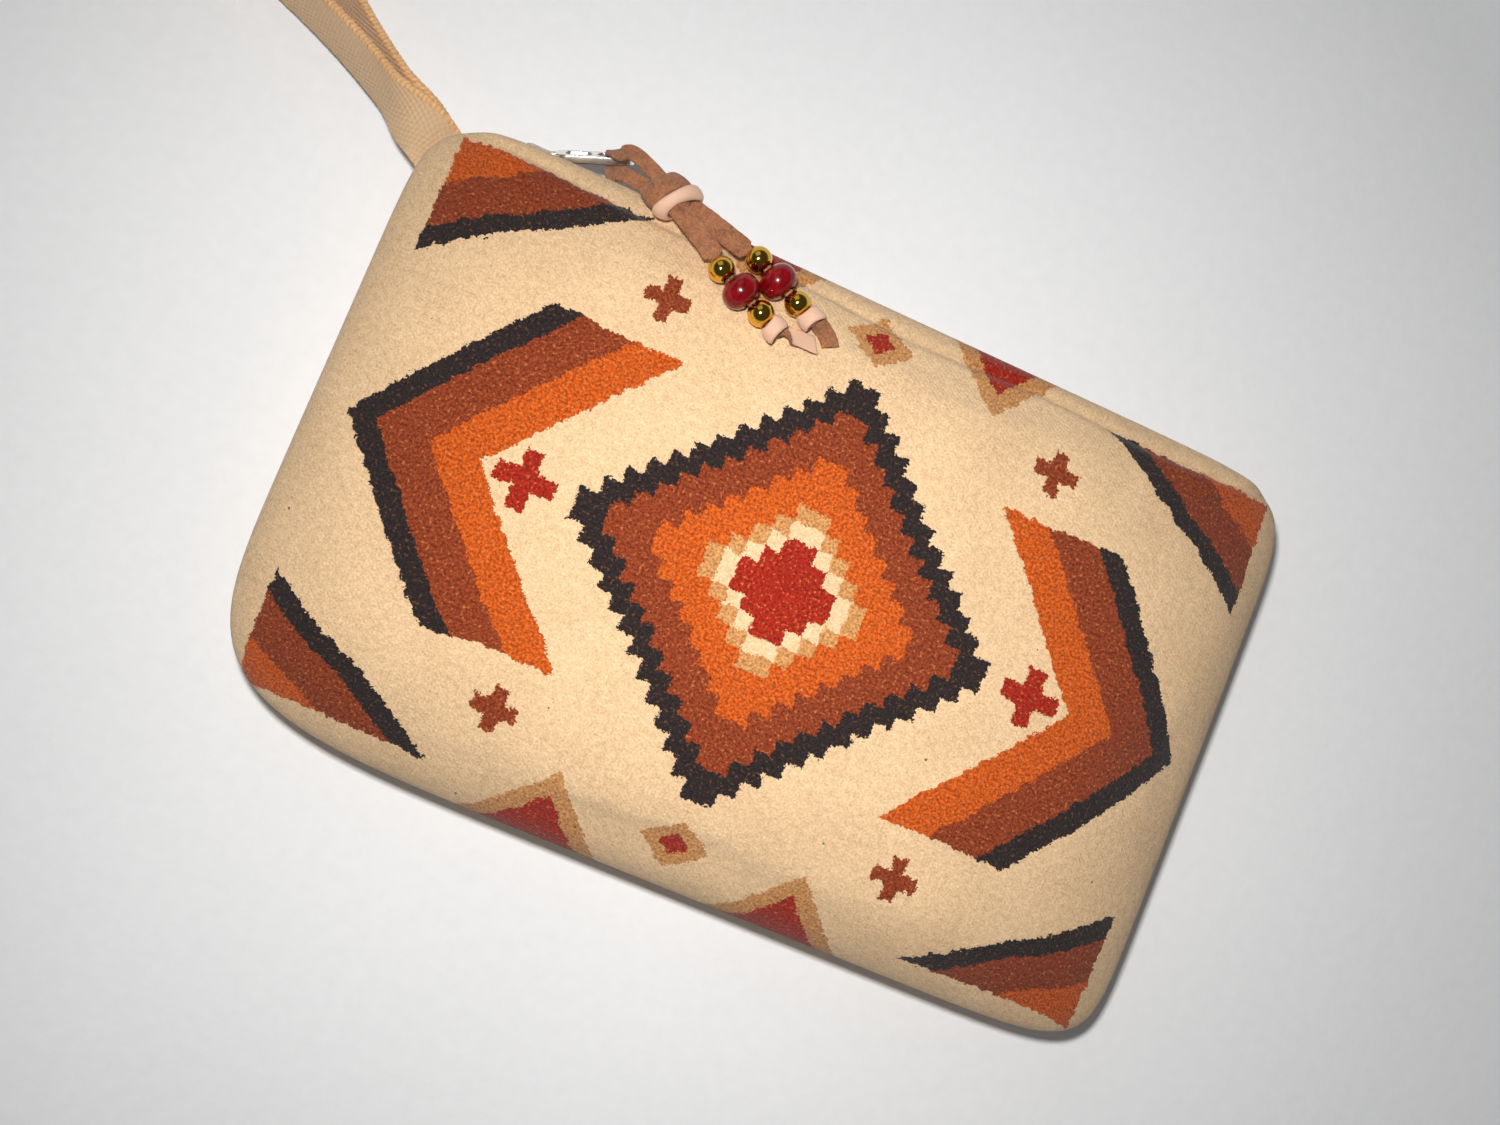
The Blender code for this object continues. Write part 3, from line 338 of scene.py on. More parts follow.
def rim_height(side, share):
    """The height at which the wool turns in, between the seam's (0) and the hem's (1)."""
    seam = SEAM_HEIGHT + side * (CLEARANCE / 2 + SEAM_ROLL)
    fold = ZIP_HEIGHT + side * (ZIP_FOLD_HALF + FOLD_ROLL)
    return mix(seam, fold, share)


def crown_height(side, x, y, flat, shoulder, top):
    """The panel's outer face over a place, for the front (side 1) or the back (side -1)."""
    out = np.maximum(level(x, y), 1e-6)
    edge_x = x / out
    edge_y = y / out
    band = mix(SEAM_BAND, HEM_BAND, band_share(edge_x, edge_y))
    base = rim_height(side, zip_share(edge_x, edge_y)) + side * band
    part = np.clip((out - flat) / (1.0 - flat), 0.0, 1.0)
    rise = np.sqrt(np.clip(1.0 - part ** shoulder, 0.0, 1.0))
    corner = (np.abs(edge_x / HALF_WIDTH) * np.abs(edge_y / HALF_HEIGHT)) ** 2
    return base + (top - base) * rise * (1.0 - CORNER_PINCH * corner * out ** PINCH_POWER)


crown_top = crown_height(1, 0.0, 0.0, FRONT_FLAT, FRONT_SHOULDER, THICKNESS)
print("front crown at the middle:", float(crown_top))

# %% [markdown]
# The suede lace is the only free cord. It goes through the slot of the metal tab, is knotted,
# and splits into two strands with three beads each. Its route repeats the CAD source's points,
# from the knot through the slot and back, and then strand by strand.

# %% The lace's route
HINGE = Vector((-0.08915, 0.07188, 0.016))
KNOT = Vector((-0.0568, 0.07188, 0.0340))
LOOP_POINTS = [
    (-0.05710, 0.07288, 0.03460), (-0.06756, 0.07862, 0.02876), (-0.07099, 0.07855, 0.02438),
    (-0.07239, 0.07934, 0.02001), (-0.07182, 0.07832, 0.01808), (-0.07106, 0.07623, 0.01851),
    (-0.07065, 0.07380, 0.02312), (-0.06765, 0.07380, 0.02712), (-0.05650, 0.07088, 0.03340),
]
LOOP_ACROSS = Vector((0.93003, 0.35700, 0.08716))
STRANDS = [
    {
        "lead": (-0.04541, 0.06269, 0.03817),
        "beads": [(-0.04091, 0.06055, 0.03856), (-0.03497, 0.05772, 0.03909),
                  (-0.02903, 0.05488, 0.03961)],
        "end_knot": (-0.02504, 0.05298, 0.03997),
        "tail": [(-0.02270, 0.05310, 0.03920), (-0.02030, 0.05345, 0.03810),
                 (-0.01760, 0.05385, 0.03715), (-0.01440, 0.05400, 0.03640)],
        "tail_cut": 0.45,
        "tail_twist": 2.8,
        "end_tilt": 0.10,
    },
    {
        "lead": (-0.03826, 0.06876, 0.03621),
        "beads": [(-0.03382, 0.06654, 0.03687), (-0.02797, 0.06361, 0.03773),
                  (-0.02212, 0.06068, 0.03859)],
        "end_knot": (-0.01818, 0.05871, 0.03917),
        "tail": [(-0.01610, 0.05850, 0.03840), (-0.01400, 0.05775, 0.03730),
                 (-0.01235, 0.05665, 0.03680), (-0.01110, 0.05520, 0.03650)],
        "tail_cut": 0.15,
        "tail_twist": 0.5,
        "end_tilt": -0.12,
    },
]
LACE_THICKNESS = 0.0012
STRAND_WIDTH = 0.0021
STRAND_THICKNESS = 0.0015
print("points of the loop:", len(LOOP_POINTS), "strands:", len(STRANDS))

# %% [markdown]
# A smooth curve runs through those points. Along it the width direction is carried from step to
# step without twist, so that a strip swept along the curve doesn't spin.

# %% Curves
UP = Vector((0, 0, 1))


def smooth_path(points, steps):
    """Points of a Catmull-Rom curve through the given ones."""
    points = [Vector(point) for point in points]
    ends = [points[0] * 2 - points[1], *points, points[-1] * 2 - points[-2]]
    path = []
    for a, b, c, d in zip(ends, ends[1:], ends[2:], ends[3:]):
        for k in range(steps):
            t = k / steps
            path.append((b * 2 + (c - a) * t + (a * 2 - b * 5 + c * 4 - d) * t * t
                         + (b * 3 - a - c * 3 + d) * t * t * t) / 2)
    path.append(points[-1].copy())
    return path


def path_length(path):
    """How long a path is, in metres."""
    return sum((b - a).length for a, b in zip(path, path[1:]))


def directions(path):
    """The way ahead at each point of a path."""
    last = len(path) - 1
    return [(path[min(i + 1, last)] - path[max(i - 1, 0)]).normalized() for i in range(last + 1)]


def carried(path, start, across):
    """Width directions along a path, carried both ways from one point without twist."""
    along = directions(path)
    found = [across] * len(path)
    for order in (range(start, len(path)), range(start, -1, -1)):
        held = across
        for i in order:
            held = (held - along[i] * held.dot(along[i])).normalized()
            found[i] = held
    return found


def bead_line(strand):
    """The places of a strand's three beads, and the direction in which they follow."""
    beads = [Vector(place) for place in strand["beads"]]
    return beads, (beads[2] - beads[0]).normalized()


print("loop:", round(path_length(smooth_path(LOOP_POINTS, 8)) * 1000, 1), "mm")

# %% [markdown]
# Every swept piece below uses one routine: a ring of section points at each step of a path,
# skinned and closed at both ends. It also writes numbers on each point that the materials read:
# the distance along the path, the place across the width, and which face the point is on.

# %% Skinning rings of points
def new_piece(name, mesh, material):
    """A smooth-shaded object at the origin, with its finish."""
    mesh.materials.append(material)
    mesh.shade_smooth()
    return add_object(name, mesh)


def face_outwards(mesh, merge=0.0):
    """Turn every face outwards, once points closer than merge have become one."""
    bm = bmesh.new()
    bm.from_mesh(mesh)
    if merge:
        bmesh.ops.remove_doubles(bm, verts=bm.verts, dist=merge)
    bmesh.ops.recalc_face_normals(bm, faces=bm.faces)
    bm.to_mesh(mesh)
    bm.free()


def store_numbers(mesh, name, values):
    """One named number on each point, for the materials to read."""
    attribute = mesh.attributes.new(name, "FLOAT", "POINT")
    attribute.data.foreach_set("value", np.asarray(values, dtype=np.float32))


def skin_rings(name, rings, numbers=None, closed_path=False):
    """A mesh skinned over rings of points, with named numbers stored for each point."""
    count = len(rings[0])
    points = [tuple(point) for ring in rings for point in ring]
    faces = []
    turns = len(rings) if closed_path else len(rings) - 1
    for r in range(turns):
        low = r * count
        high = (r + 1) % len(rings) * count
        for i in range(count):
            j = (i + 1) % count
            faces.append((low + i, low + j, high + j, high + i))
    if not closed_path:
        faces.append(tuple(range(count))[::-1])
        faces.append(tuple(range(len(points) - count, len(points))))
    mesh = bpy.data.meshes.new(name)
    mesh.from_pydata(points, [], faces)
    for label, values in (numbers or {}).items():
        store_numbers(mesh, label, values)
    face_outwards(mesh)
    return mesh


print("skinning helpers ready")

# %% [markdown]
# The lace's section is a flat strip with soft corners. A hand-cut lace is never quite even, so a
# ripple widens and narrows it a little on its way, and its free end may be cut at a slant.

# %% Sweeping a flat strip
def strip_section(count=20, squareness=4.0):
    """Places round a flat strip's section, as shares of half its width and half its thickness."""
    places = []
    for k in range(count):
        turn = 2 * math.pi * (k + 0.5) / count
        c = math.cos(turn)
        s = math.sin(turn)
        places.append((math.copysign(abs(c) ** (2 / squareness), c),
                       math.copysign(abs(s) ** (2 / squareness), s)))
    return places


CUT_RINGS = 12
RIPPLE_WAVES = (2600, 1100)


def sweep_strip(name, path, acrosses, widths, thicknesses, ripple, cut=0.0):
    """A flat strip along a path. Stores how far along, across and through each point is."""
    section = strip_section()
    along = directions(path)
    run = 0.0
    rings = []
    numbers = {"along": [], "across": [], "side": []}
    for i, center in enumerate(path):
        if i:
            run += (center - path[i - 1]).length
        across = (acrosses[i] - along[i] * acrosses[i].dot(along[i])).normalized()
        outward = along[i].cross(across)
        ring = []
        for k, (a, b) in enumerate(section):
            wander = 1.0 + (ripple * math.sin(run * RIPPLE_WAVES[0] + 2.1 * k)
                            * math.sin(run * RIPPLE_WAVES[1] + k))
            slant = cut * max(i + CUT_RINGS + 1 - len(path), 0) / CUT_RINGS
            ring.append(center + across * (a * widths[i] / 2 * wander)
                        + outward * (b * thicknesses[i] / 2)
                        + along[i] * (a * widths[i] / 2 * slant))
            numbers["along"].append(run)
            numbers["across"].append(a * widths[i] / 2)
            numbers["side"].append(b)
        rings.append(ring)
    return skin_rings(name, rings, numbers)


print("sweeping helpers ready")

# %% [markdown]
# The blanket cloth has a woven pattern in dyed wool. This one is a plain arrangement of shapes
# that many southwestern blankets share: a stepped diamond, chevrons, corner triangles and small
# crosses. Each shape is a formula of the place on the cloth, in millimetres from the middle, and
# is the same on all four quarters. The rings and bands below say how far out each colour starts,
# and the single shapes are given by their middle and their half sizes.

# %% Shapes of the pattern
DIAMOND_STEP = 3.9
DIAMOND_REACH = 53.0
DIAMOND_RINGS = ((1.0, BLACK_BROWN), (0.88, RUST), (0.66, ORANGE), (0.44, LIGHT_TAN),
                 (0.34, CREAM), (0.26, BRICK))
CHEVRON_BANDS = ((73.0, ORANGE), (85.0, RUST), (98.0, BLACK_BROWN))
CHEVRON_END = 105.0
CHEVRON_SLOPE = 0.85
CHEVRON_LIMITS = (40.0, 39.0)
CORNER_PLACE = (106.0, 69.0)
CORNER_REACH = (48.0, 31.0)
CORNER_BANDS = ((1.0, BLACK_BROWN), (0.82, RUST), (0.46, ORANGE))
HALF_DIAMOND = (30.0, 79.0, 18.0, 22.0)
DOT = (0.0, 62.5, 8.5, 7.0)
SIDE_CROSS = (62.5, 0.0, 7.0, 2.2)
CORNER_CROSS = (49.0, 51.0, 5.4, 1.7)


def diamond(x, y, middle_x, middle_y, half_x, half_y):
    """1 on the edge of a diamond, less inside it."""
    return (x - middle_x).size() / half_x + (y - middle_y).size() / half_y


def cross(x, y, middle_x, middle_y, arm, half_bar):
    """1 inside a cross with equal arms."""
    dx = (x - middle_x).size()
    dy = (y - middle_y).size()
    across = dx.below(arm) * dy.below(half_bar)
    return across.larger(dy.below(arm) * dx.below(half_bar))


print("diamond rings:", len(DIAMOND_RINGS), "chevron bands:", len(CHEVRON_BANDS))

# %% [markdown]
# The pattern is a shader group, because it is one effect with a few named inputs. The place is
# shaken a little first, by a slow noise and by a fine one, which gives the ragged edge that the
# loom and the nap give to real dyed wool. For the diamond it is then held in steps. Each shape
# is a mask, and the masks are laid over the cream ground one after another.

# %% The woven pattern
SLOW_SHAKE_SCALE = 420.0
FAST_SHAKE_SCALE = 1900.0
SHAKE = 2.6
FUZZ = 1.7


def build_blanket_pattern():
    tree, source, result = make_group(
        "blanket_pattern",
        [("Place", "NodeSocketVector", None), ("Shake", "NodeSocketFloat", SHAKE),
         ("Fuzz", "NodeSocketFloat", FUZZ)],
        [("Color", "NodeSocketColor")],
    )
    place = source.outputs["Place"]
    shake = Term(tree, source.outputs["Shake"])
    fuzz = Term(tree, source.outputs["Fuzz"])
    shaken = []
    for scale, detail in ((SLOW_SHAKE_SCALE, 2.0), (FAST_SHAKE_SCALE, 1.0)):
        node = tree.nodes.new("ShaderNodeTexNoise")
        node.inputs["Scale"].default_value = scale
        node.inputs["Detail"].default_value = detail
        plug(tree, place, node.inputs["Vector"])
        parts = tree.nodes.new("ShaderNodeSeparateColor")
        tree.links.new(node.outputs["Color"], parts.inputs[0])
        shaken.append([Term(tree, parts.outputs[i]) - 0.5 for i in range(2)])
    parts = split_place(tree, place)
    moved = [parts[i] * 1000.0 + shaken[0][i] * shake + shaken[1][i] * fuzz for i in range(2)]
    x = moved[0].size()
    y = moved[1].size()
    stepped_x, stepped_y = [part.stepped(DIAMOND_STEP).size() for part in moved]
    terrace = diamond(stepped_x, stepped_y, 0.0, 0.0, DIAMOND_REACH, DIAMOND_REACH)
    tip = x + y * CHEVRON_SLOPE
    arms = y.below(CHEVRON_LIMITS[1]) * x.above(CHEVRON_LIMITS[0])
    corner = ((x * -1.0 + CORNER_PLACE[0]) / CORNER_REACH[0]
              + (y * -1.0 + CORNER_PLACE[1]) / CORNER_REACH[1])
    in_corner = x.below(CORNER_PLACE[0]) * y.below(CORNER_PLACE[1])
    half_diamond = diamond(x, y, *HALF_DIAMOND)
    dot = diamond(x, y, *DOT)
    layers = [(terrace.below(size), dye) for size, dye in DIAMOND_RINGS]
    layers += [(arms * tip.above(start) * tip.below(CHEVRON_END), dye)
               for start, dye in CHEVRON_BANDS]
    layers += [(cross(x, y, *SIDE_CROSS), BRICK)]
    layers += [(in_corner * corner.below(size), dye) for size, dye in CORNER_BANDS]
    layers += [(half_diamond.below(1.0), LIGHT_TAN), (half_diamond.below(0.70), BRICK),
               (dot.below(1.0), LIGHT_TAN), (dot.below(0.45), BRICK),
               (cross(x, y, *CORNER_CROSS), RUST)]
    color = CREAM
    for mask, dye in layers:
        color = blend_colors(tree, mask, color, dye)
    plug(tree, color, result.inputs["Color"])
    return tree


BLANKET_PATTERN = build_blanket_pattern()
print("pattern nodes:", len(BLANKET_PATTERN.nodes))

# %% [markdown]
# Fulled wool is a felt-like mat of short fibres. Up close it is a fine salt-and-pepper grain, a
# little lighter and darker from patch to patch, with a few dark specks of straw and, on dyed
# areas, painted glints: bright specks that stand for fibres catching the light. Dyed wool is
# known by its darker colour. Towards the panel's rim the colour is darkened, which is painted
# shade for the light falling off there. The group gives both the colour and the height. Scales
# are waves to the metre, and gains are how much each layer lightens and darkens.

# %% Wool nap
GRAIN_SCALE = 1900.0
GRAIN_GAIN = 1.2
TUFT_SCALE = 620.0
TUFT_GAIN = 0.5
CLOUD_SCALE = 70.0
CLOUD_GAIN = 0.24
FLECK_SCALE = 1500.0
FLECK_GAIN = 3.0
TWILL_SCALE = 5200.0
TWILL_GAIN = 0.012
GLINT_SPECK_SCALE = 1250.0
STRAW_SCALE = 95.0
STRAW_SIZE = 0.032
DARK_TINT = (0.56, 0.48, 0.40, 1.0)
LIGHT_TINT = (1.44, 1.52, 1.60, 1.0)
PAINTED_FIBRE_GLINT = from_picture(232, 148, 84)
STRAW = from_picture(58, 42, 34)
PAINTED_RIM_SHADE = 0.75


def build_nap():
    tree, source, result = make_group(
        "wool_nap",
        [("Place", "NodeSocketVector", None), ("Color", "NodeSocketColor", None)],
        [("Color", "NodeSocketColor"), ("Height", "NodeSocketFloat")],
    )
    place = source.outputs["Place"]
    grey = tree.nodes.new("ShaderNodeRGBToBW")
    plug(tree, source.outputs["Color"], grey.inputs[0])
    light = Term(tree, grey.outputs[0])
    dyed = spread(tree, light, 0.22, 0.62, 1.0, 0.0)
    grain = noise(tree, place, GRAIN_SCALE, 3.0, 0.65)
    tuft = noise(tree, place, TUFT_SCALE, 2.0)
    cloud = noise(tree, place, CLOUD_SCALE, 3.0)
    fleck = noise(tree, place, FLECK_SCALE, 1.5, 0.6)
    parts = split_place(tree, place)
    twill = ((parts[0] * 0.8 + parts[1]) * TWILL_SCALE).wave()
    shade = ((grain - 0.5) * GRAIN_GAIN + (tuft - 0.5) * TUFT_GAIN + (cloud - 0.5) * CLOUD_GAIN
             + twill * TWILL_GAIN + (fleck - 0.5) * dyed * FLECK_GAIN)
    share = spread(tree, shade, -0.5, 0.5)
    tint = blend_colors(tree, share, DARK_TINT, LIGHT_TINT)
    color = blend_colors(tree, 1.0, source.outputs["Color"], tint, "MULTIPLY")
    # Painted glints: bright specks on dyed areas that stand for single fibres catching the light.
    painted_glint = spread(tree, noise(tree, place, GLINT_SPECK_SCALE, 1.0), 0.60, 0.72) * dyed
    painted_glint = painted_glint * spread(tree, light, 0.02, 0.09, 0.16, 0.5)
    color = blend_colors(tree, painted_glint, color, PAINTED_FIBRE_GLINT)
    straw = specks(tree, place, STRAW_SCALE).below(STRAW_SIZE)
    color = blend_colors(tree, straw * 0.75, color, STRAW)
    # Painted shade: the colour darkens towards the panel's rim, where the light falls off.
    across = parts[0] / HALF_WIDTH
    along = parts[1] / HALF_HEIGHT
    out = across * across * across * across + along * along * along * along
    painted_rim_darkening = spread(tree, out, 0.05, 1.05, 1.0, PAINTED_RIM_SHADE)
    color = blend_colors(tree, 1.0, color, painted_rim_darkening, "MULTIPLY")
    plug(tree, color, result.inputs["Color"])
    plug(tree, grain * 0.55 + tuft * 0.45 + twill * 0.03, result.inputs["Height"])
    return tree


NAP = build_nap()
print("nap nodes:", len(NAP.nodes))

# %% [markdown]
# The two wool materials share those groups: the front has the pattern under its nap, and the
# back, which the photograph doesn't show, is plain cream. Sheen gives the soft light edge that
# fibres have. The groups read the cloth's own coordinates, which are stored on the mesh below.

# %% Wool materials
def wool_material(name, patterned):
    material, tree, shader = new_material(name)
    place = tree.nodes.new("ShaderNodeUVMap")
    place.uv_map = "cloth"
    if patterned:
        pattern = place_group(tree, BLANKET_PATTERN, Place=place.outputs[0])
        nap = place_group(tree, NAP, Place=place.outputs[0], Color=pattern.outputs["Color"])
    else:
        nap = place_group(tree, NAP, Place=place.outputs[0], Color=CREAM)
    tree.links.new(nap.outputs["Color"], shader.inputs["Base Color"])
    shader.inputs["Roughness"].default_value = 0.95
    shader.inputs["Specular IOR Level"].default_value = 0.15
    shader.inputs["Sheen Weight"].default_value = 0.16
    shader.inputs["Sheen Roughness"].default_value = 0.6
    add_bump(tree, shader, nap.outputs["Height"], 0.0007, 0.8)
    return material


WOOL_FRONT = wool_material("wool_front_look", True)
WOOL_BACK = wool_material("wool_back_look", False)
print("wool materials ready")

# %% [markdown]
# Each wool panel starts as a grid of squares that fills the outline. The squares are smaller
# towards the edge, where the wool turns most.

# %% Grid of a wool panel
def grid_places(columns, rows, crowding=0.85):
    """Plan places of a grid that fills the outline, closer together towards its edge."""
    s = np.linspace(-1.0, 1.0, columns + 1)
    t = np.linspace(-1.0, 1.0, rows + 1)
    u, v = np.meshgrid(mix(s, np.sin(np.pi / 2 * s), crowding),
                       mix(t, np.sin(np.pi / 2 * t), crowding))
    power = corner_power(u, v)
    raw = np.maximum((np.abs(u) ** power + np.abs(v) ** power) ** (1 / power), 1e-9)
    scale = np.maximum(np.abs(u), np.abs(v)) / raw
    return HALF_WIDTH * u * scale, HALF_HEIGHT * v * scale


def grid_faces(columns, rows, side):
    """The squares of a grid of points, which face out of the pouch."""
    faces = []
    for r in range(rows):
        for c in range(columns):
            low = r * (columns + 1) + c
            high = low + columns + 1
            corners = (low, low + 1, high + 1, high)
            faces.append(corners if side > 0 else corners[::-1])
    return faces


print("grid helpers ready")

# %% [markdown]
# A filled pouch is not the smooth form of its formula: the cloth puffs between its seams and is
# held back along them. Blender's Cloth does that. The grid follows the formula, is pinned along
# its edge, and gets pressure from inside and no gravity. The movement is capped, so that the
# wool stays around the CAD solid it stands for.

# %% Puffing a panel with the cloth simulation
PRESSURE = 2.5
PUFF_FRAMES = 20
PINNED_BORDER = 0.30


def puff(points, columns, rows, side, cap):
    """The grid after the cloth simulation, with no point moved further than the cap."""
    mesh = bpy.data.meshes.new("puff")
    mesh.from_pydata(points.reshape(-1, 3).tolist(), [], grid_faces(columns, rows, side))
    sheet = add_object("puff", mesh)
    sewn = sheet.vertex_groups.new(name="sewn")
    index = np.arange(points.shape[0] * points.shape[1]).reshape(points.shape[:2])
    edge = set(index[0]) | set(index[-1]) | set(index[:, 0]) | set(index[:, -1])
    sewn.add([int(i) for i in edge], 1.0, "ADD")
    cloth = sheet.modifiers.new("cloth", "CLOTH")
    cloth.settings.quality = 5
    cloth.settings.mass = 0.15
    cloth.settings.tension_stiffness = 15
    cloth.settings.compression_stiffness = 15
    cloth.settings.bending_stiffness = 8.0
    cloth.settings.use_pressure = True
    cloth.settings.uniform_pressure_force = PRESSURE
    cloth.settings.shrink_min = -0.003
    cloth.settings.vertex_group_mass = "sewn"
    cloth.settings.effector_weights.gravity = 0.0
    cloth.collision_settings.use_collision = False
    cloth.point_cache.frame_start = 1
    cloth.point_cache.frame_end = PUFF_FRAMES
    for number in range(1, PUFF_FRAMES + 1):
        bpy.context.scene.frame_set(number)
    graph = bpy.context.evaluated_depsgraph_get()
    done = sheet.evaluated_get(graph).to_mesh()
    found = np.zeros(len(done.vertices) * 3)
    done.vertices.foreach_get("co", found)
    bpy.data.objects.remove(sheet)
    bpy.context.scene.frame_set(1)
    move = found.reshape(points.shape) - points
    share = level(points[..., 0], points[..., 1])
    move *= 1.0 - smoothstep(1.0 - PINNED_BORDER, 1.0, share)[..., None]
    far = np.linalg.norm(move, axis=2, keepdims=True)
    print("puffed by", round(float(far.max()) * 1000, 2), "mm at most,",
          round(float(np.median(far)) * 1000, 2), "mm in the middle of the range")
    return points + move * np.minimum(1.0, cap / np.maximum(far, 1e-9))


print("puffing takes", PUFF_FRAMES, "frames")

# %% [markdown]
# Along the zip the wool is turned in and hemmed, and the edge of the turned cloth shows on the
# face as a shallow crease. A stuffed pouch also has a few slow dents, which come from a sum of
# long waves.

# %% Crease and dents
GROOVE_INSET = 0.0044
GROOVE_DEPTH = 0.0013
GROOVE_HALF = 0.0011
GROOVE_WANDER = 0.0006
GROOVE_ENDS = (0.090, 0.104)
DENT_DEPTHS = (0.00060, 0.00034)


def slow_dents(x, y):
    """Gentle dents of a stuffed pouch, as a sum of a few long waves."""
    broad = np.sin(x * 61 + y * 37 + 0.7) * np.sin(y * 83 - x * 22 + 1.9)
    small = np.sin(x * 118 - y * 74 + 2.3) * np.sin(y * 141 + x * 47 + 0.4)
    return broad * DENT_DEPTHS[0] + small * DENT_DEPTHS[1]


def groove_depth(x, y):
    """How deep the crease beside the zip is."""
    wander = GROOVE_WANDER * np.sin(x * 95 + 0.8)
    across = (HALF_HEIGHT - y - GROOVE_INSET - wander) / GROOVE_HALF
    ends = 1.0 - smoothstep(*GROOVE_ENDS, np.abs(x))
    return GROOVE_DEPTH * np.exp(-across ** 2) * ends


print("crease:", GROOVE_DEPTH * 1000, "mm deep, dents up to", sum(DENT_DEPTHS) * 1000, "mm")

# %% [markdown]
# Crease and dents are added after the simulation, along the surface's own direction, and the
# back stays flat where it rests on the board. Lengths along the surface become the cloth's own
# coordinates, so that the pattern keeps its size where the wool curves.

# %% Surface of a wool panel
CALM_EDGE = 0.12
RESTING_HEIGHT = 0.002


def surface_normals(points, side):
    """The way out of the pouch at every point of the grid."""
    ahead = np.gradient(points, axis=1)
    up = np.gradient(points, axis=0)
    normals = np.cross(ahead, up) * side
    return normals / np.maximum(np.linalg.norm(normals, axis=2, keepdims=True), 1e-12)


def running_length(points, axis):
    """Length along the surface from its middle line, for every point of the grid."""
    steps = np.linalg.norm(np.diff(points, axis=axis), axis=2)
    pad = [(0, 0), (0, 0)]
    pad[axis] = (1, 0)
    length = np.pad(np.cumsum(steps, axis=axis), pad)
    middle = points.shape[axis] // 2
    return length - np.take(length, [middle], axis=axis)


def panel_surface(side, flat, shoulder, top, grid, cap):
    """A panel's grid of points, with each point's lengths across and up the cloth."""
    columns, rows = grid
    x, y = grid_places(columns, rows)
    z = crown_height(side, x, y, flat, shoulder, top)
    points = np.stack([x, y, z], axis=2)
    points = puff(points, columns, rows, side, cap)
    if side < 0:
        points[..., 2] = np.maximum(points[..., 2], 0.0)
    u = running_length(points, 1)
    v = running_length(points, 0)
    inside = np.clip((1.0 - level(x, y)) / CALM_EDGE, 0.0, 1.0)
    push = slow_dents(x, y) * inside - groove_depth(x, y)
    if side < 0:
        push = np.where(points[..., 2] < RESTING_HEIGHT, 0.0, push)
    points = points + surface_normals(points, side) * push[..., None]
    return x, y, points, u, v


print("dents fade over the outer", CALM_EDGE, "of each panel")

# %% [markdown]
# At its edge the wool rolls under: by a quarter turn at the seam, where the two panels meet, and
# by a half turn along the zip, where it is hemmed. Rings of points follow that roll, as in the
# CAD source, and the cloth's own coordinates run on with them, so that the pattern goes over the
# edge as woven cloth does.

# %% Turned edge of a wool panel
TURN_STEPS = 8


def edge_loop(values):
    """The grid's edge as one row, against the clock as seen from the front."""
    return np.concatenate([values[0, :-1], values[:-1, -1], values[-1, :0:-1], values[:0:-1, 0]])


def outline_directions(x, y):
    """The way out, square to the outline, at each point of the edge."""
    power = corner_power(x, y)
    out_x = np.sign(x) * np.abs(x / HALF_WIDTH) ** (power - 1) / HALF_WIDTH
    out_y = np.sign(y) * np.abs(y / HALF_HEIGHT) ** (power - 1) / HALF_HEIGHT
    reach = np.hypot(out_x, out_y)
    return out_x / reach, out_y / reach


def turned_edge(side, x, y, points, u, v):
    """Rings of points, and their cloth coordinates, that roll under from the grid's edge."""
    edge_x, edge_y, edge_u, edge_v = [edge_loop(values) for values in (x, y, u, v)]
    out_x, out_y = outline_directions(edge_x, edge_y)
    share = zip_share(edge_x, edge_y)
    rim = rim_height(side, share)
    band = np.abs(edge_loop(points[..., 2]) - rim)
    roll = mix(SEAM_ROLL, FOLD_ROLL, share)
    allowance = mix(SEAM_ALLOWANCE, HEM_ALLOWANCE, share)
    rings = []
    ring_uvs = []
    for step in range(TURN_STEPS + 2):
        turned = mix(np.pi / 2, np.pi, share) * min(step, TURN_STEPS) / TURN_STEPS
        inward = roll * (1 - np.cos(turned))
        down = roll * np.sin(turned)
        length = band + roll * turned
        if step > TURN_STEPS:
            inward = inward + allowance * np.sin(turned)
            down = down + allowance * np.cos(turned)
            length = length + allowance
        rings.append(np.stack([edge_x - out_x * inward, edge_y - out_y * inward,
                               rim - side * down], axis=1))
        ring_uvs.append(np.stack([edge_u + out_x * length, edge_v + out_y * length], axis=1))
    return rings, ring_uvs


def edge_faces(first, start, side):
    """The squares between the grid's edge and the rings that follow it."""
    faces = []
    for _ in range(TURN_STEPS + 2):
        second = list(range(start, start + len(first)))
        for i in range(len(first)):
            j = (i + 1) % len(first)
            corners = (first[i], second[i], second[j], first[j])
            faces.append(corners if side > 0 else corners[::-1])
        first = second
        start += len(first)
    return faces


print("roll at the seam:", SEAM_ROLL * 1000, "mm, at the hem:", FOLD_ROLL * 1000, "mm")
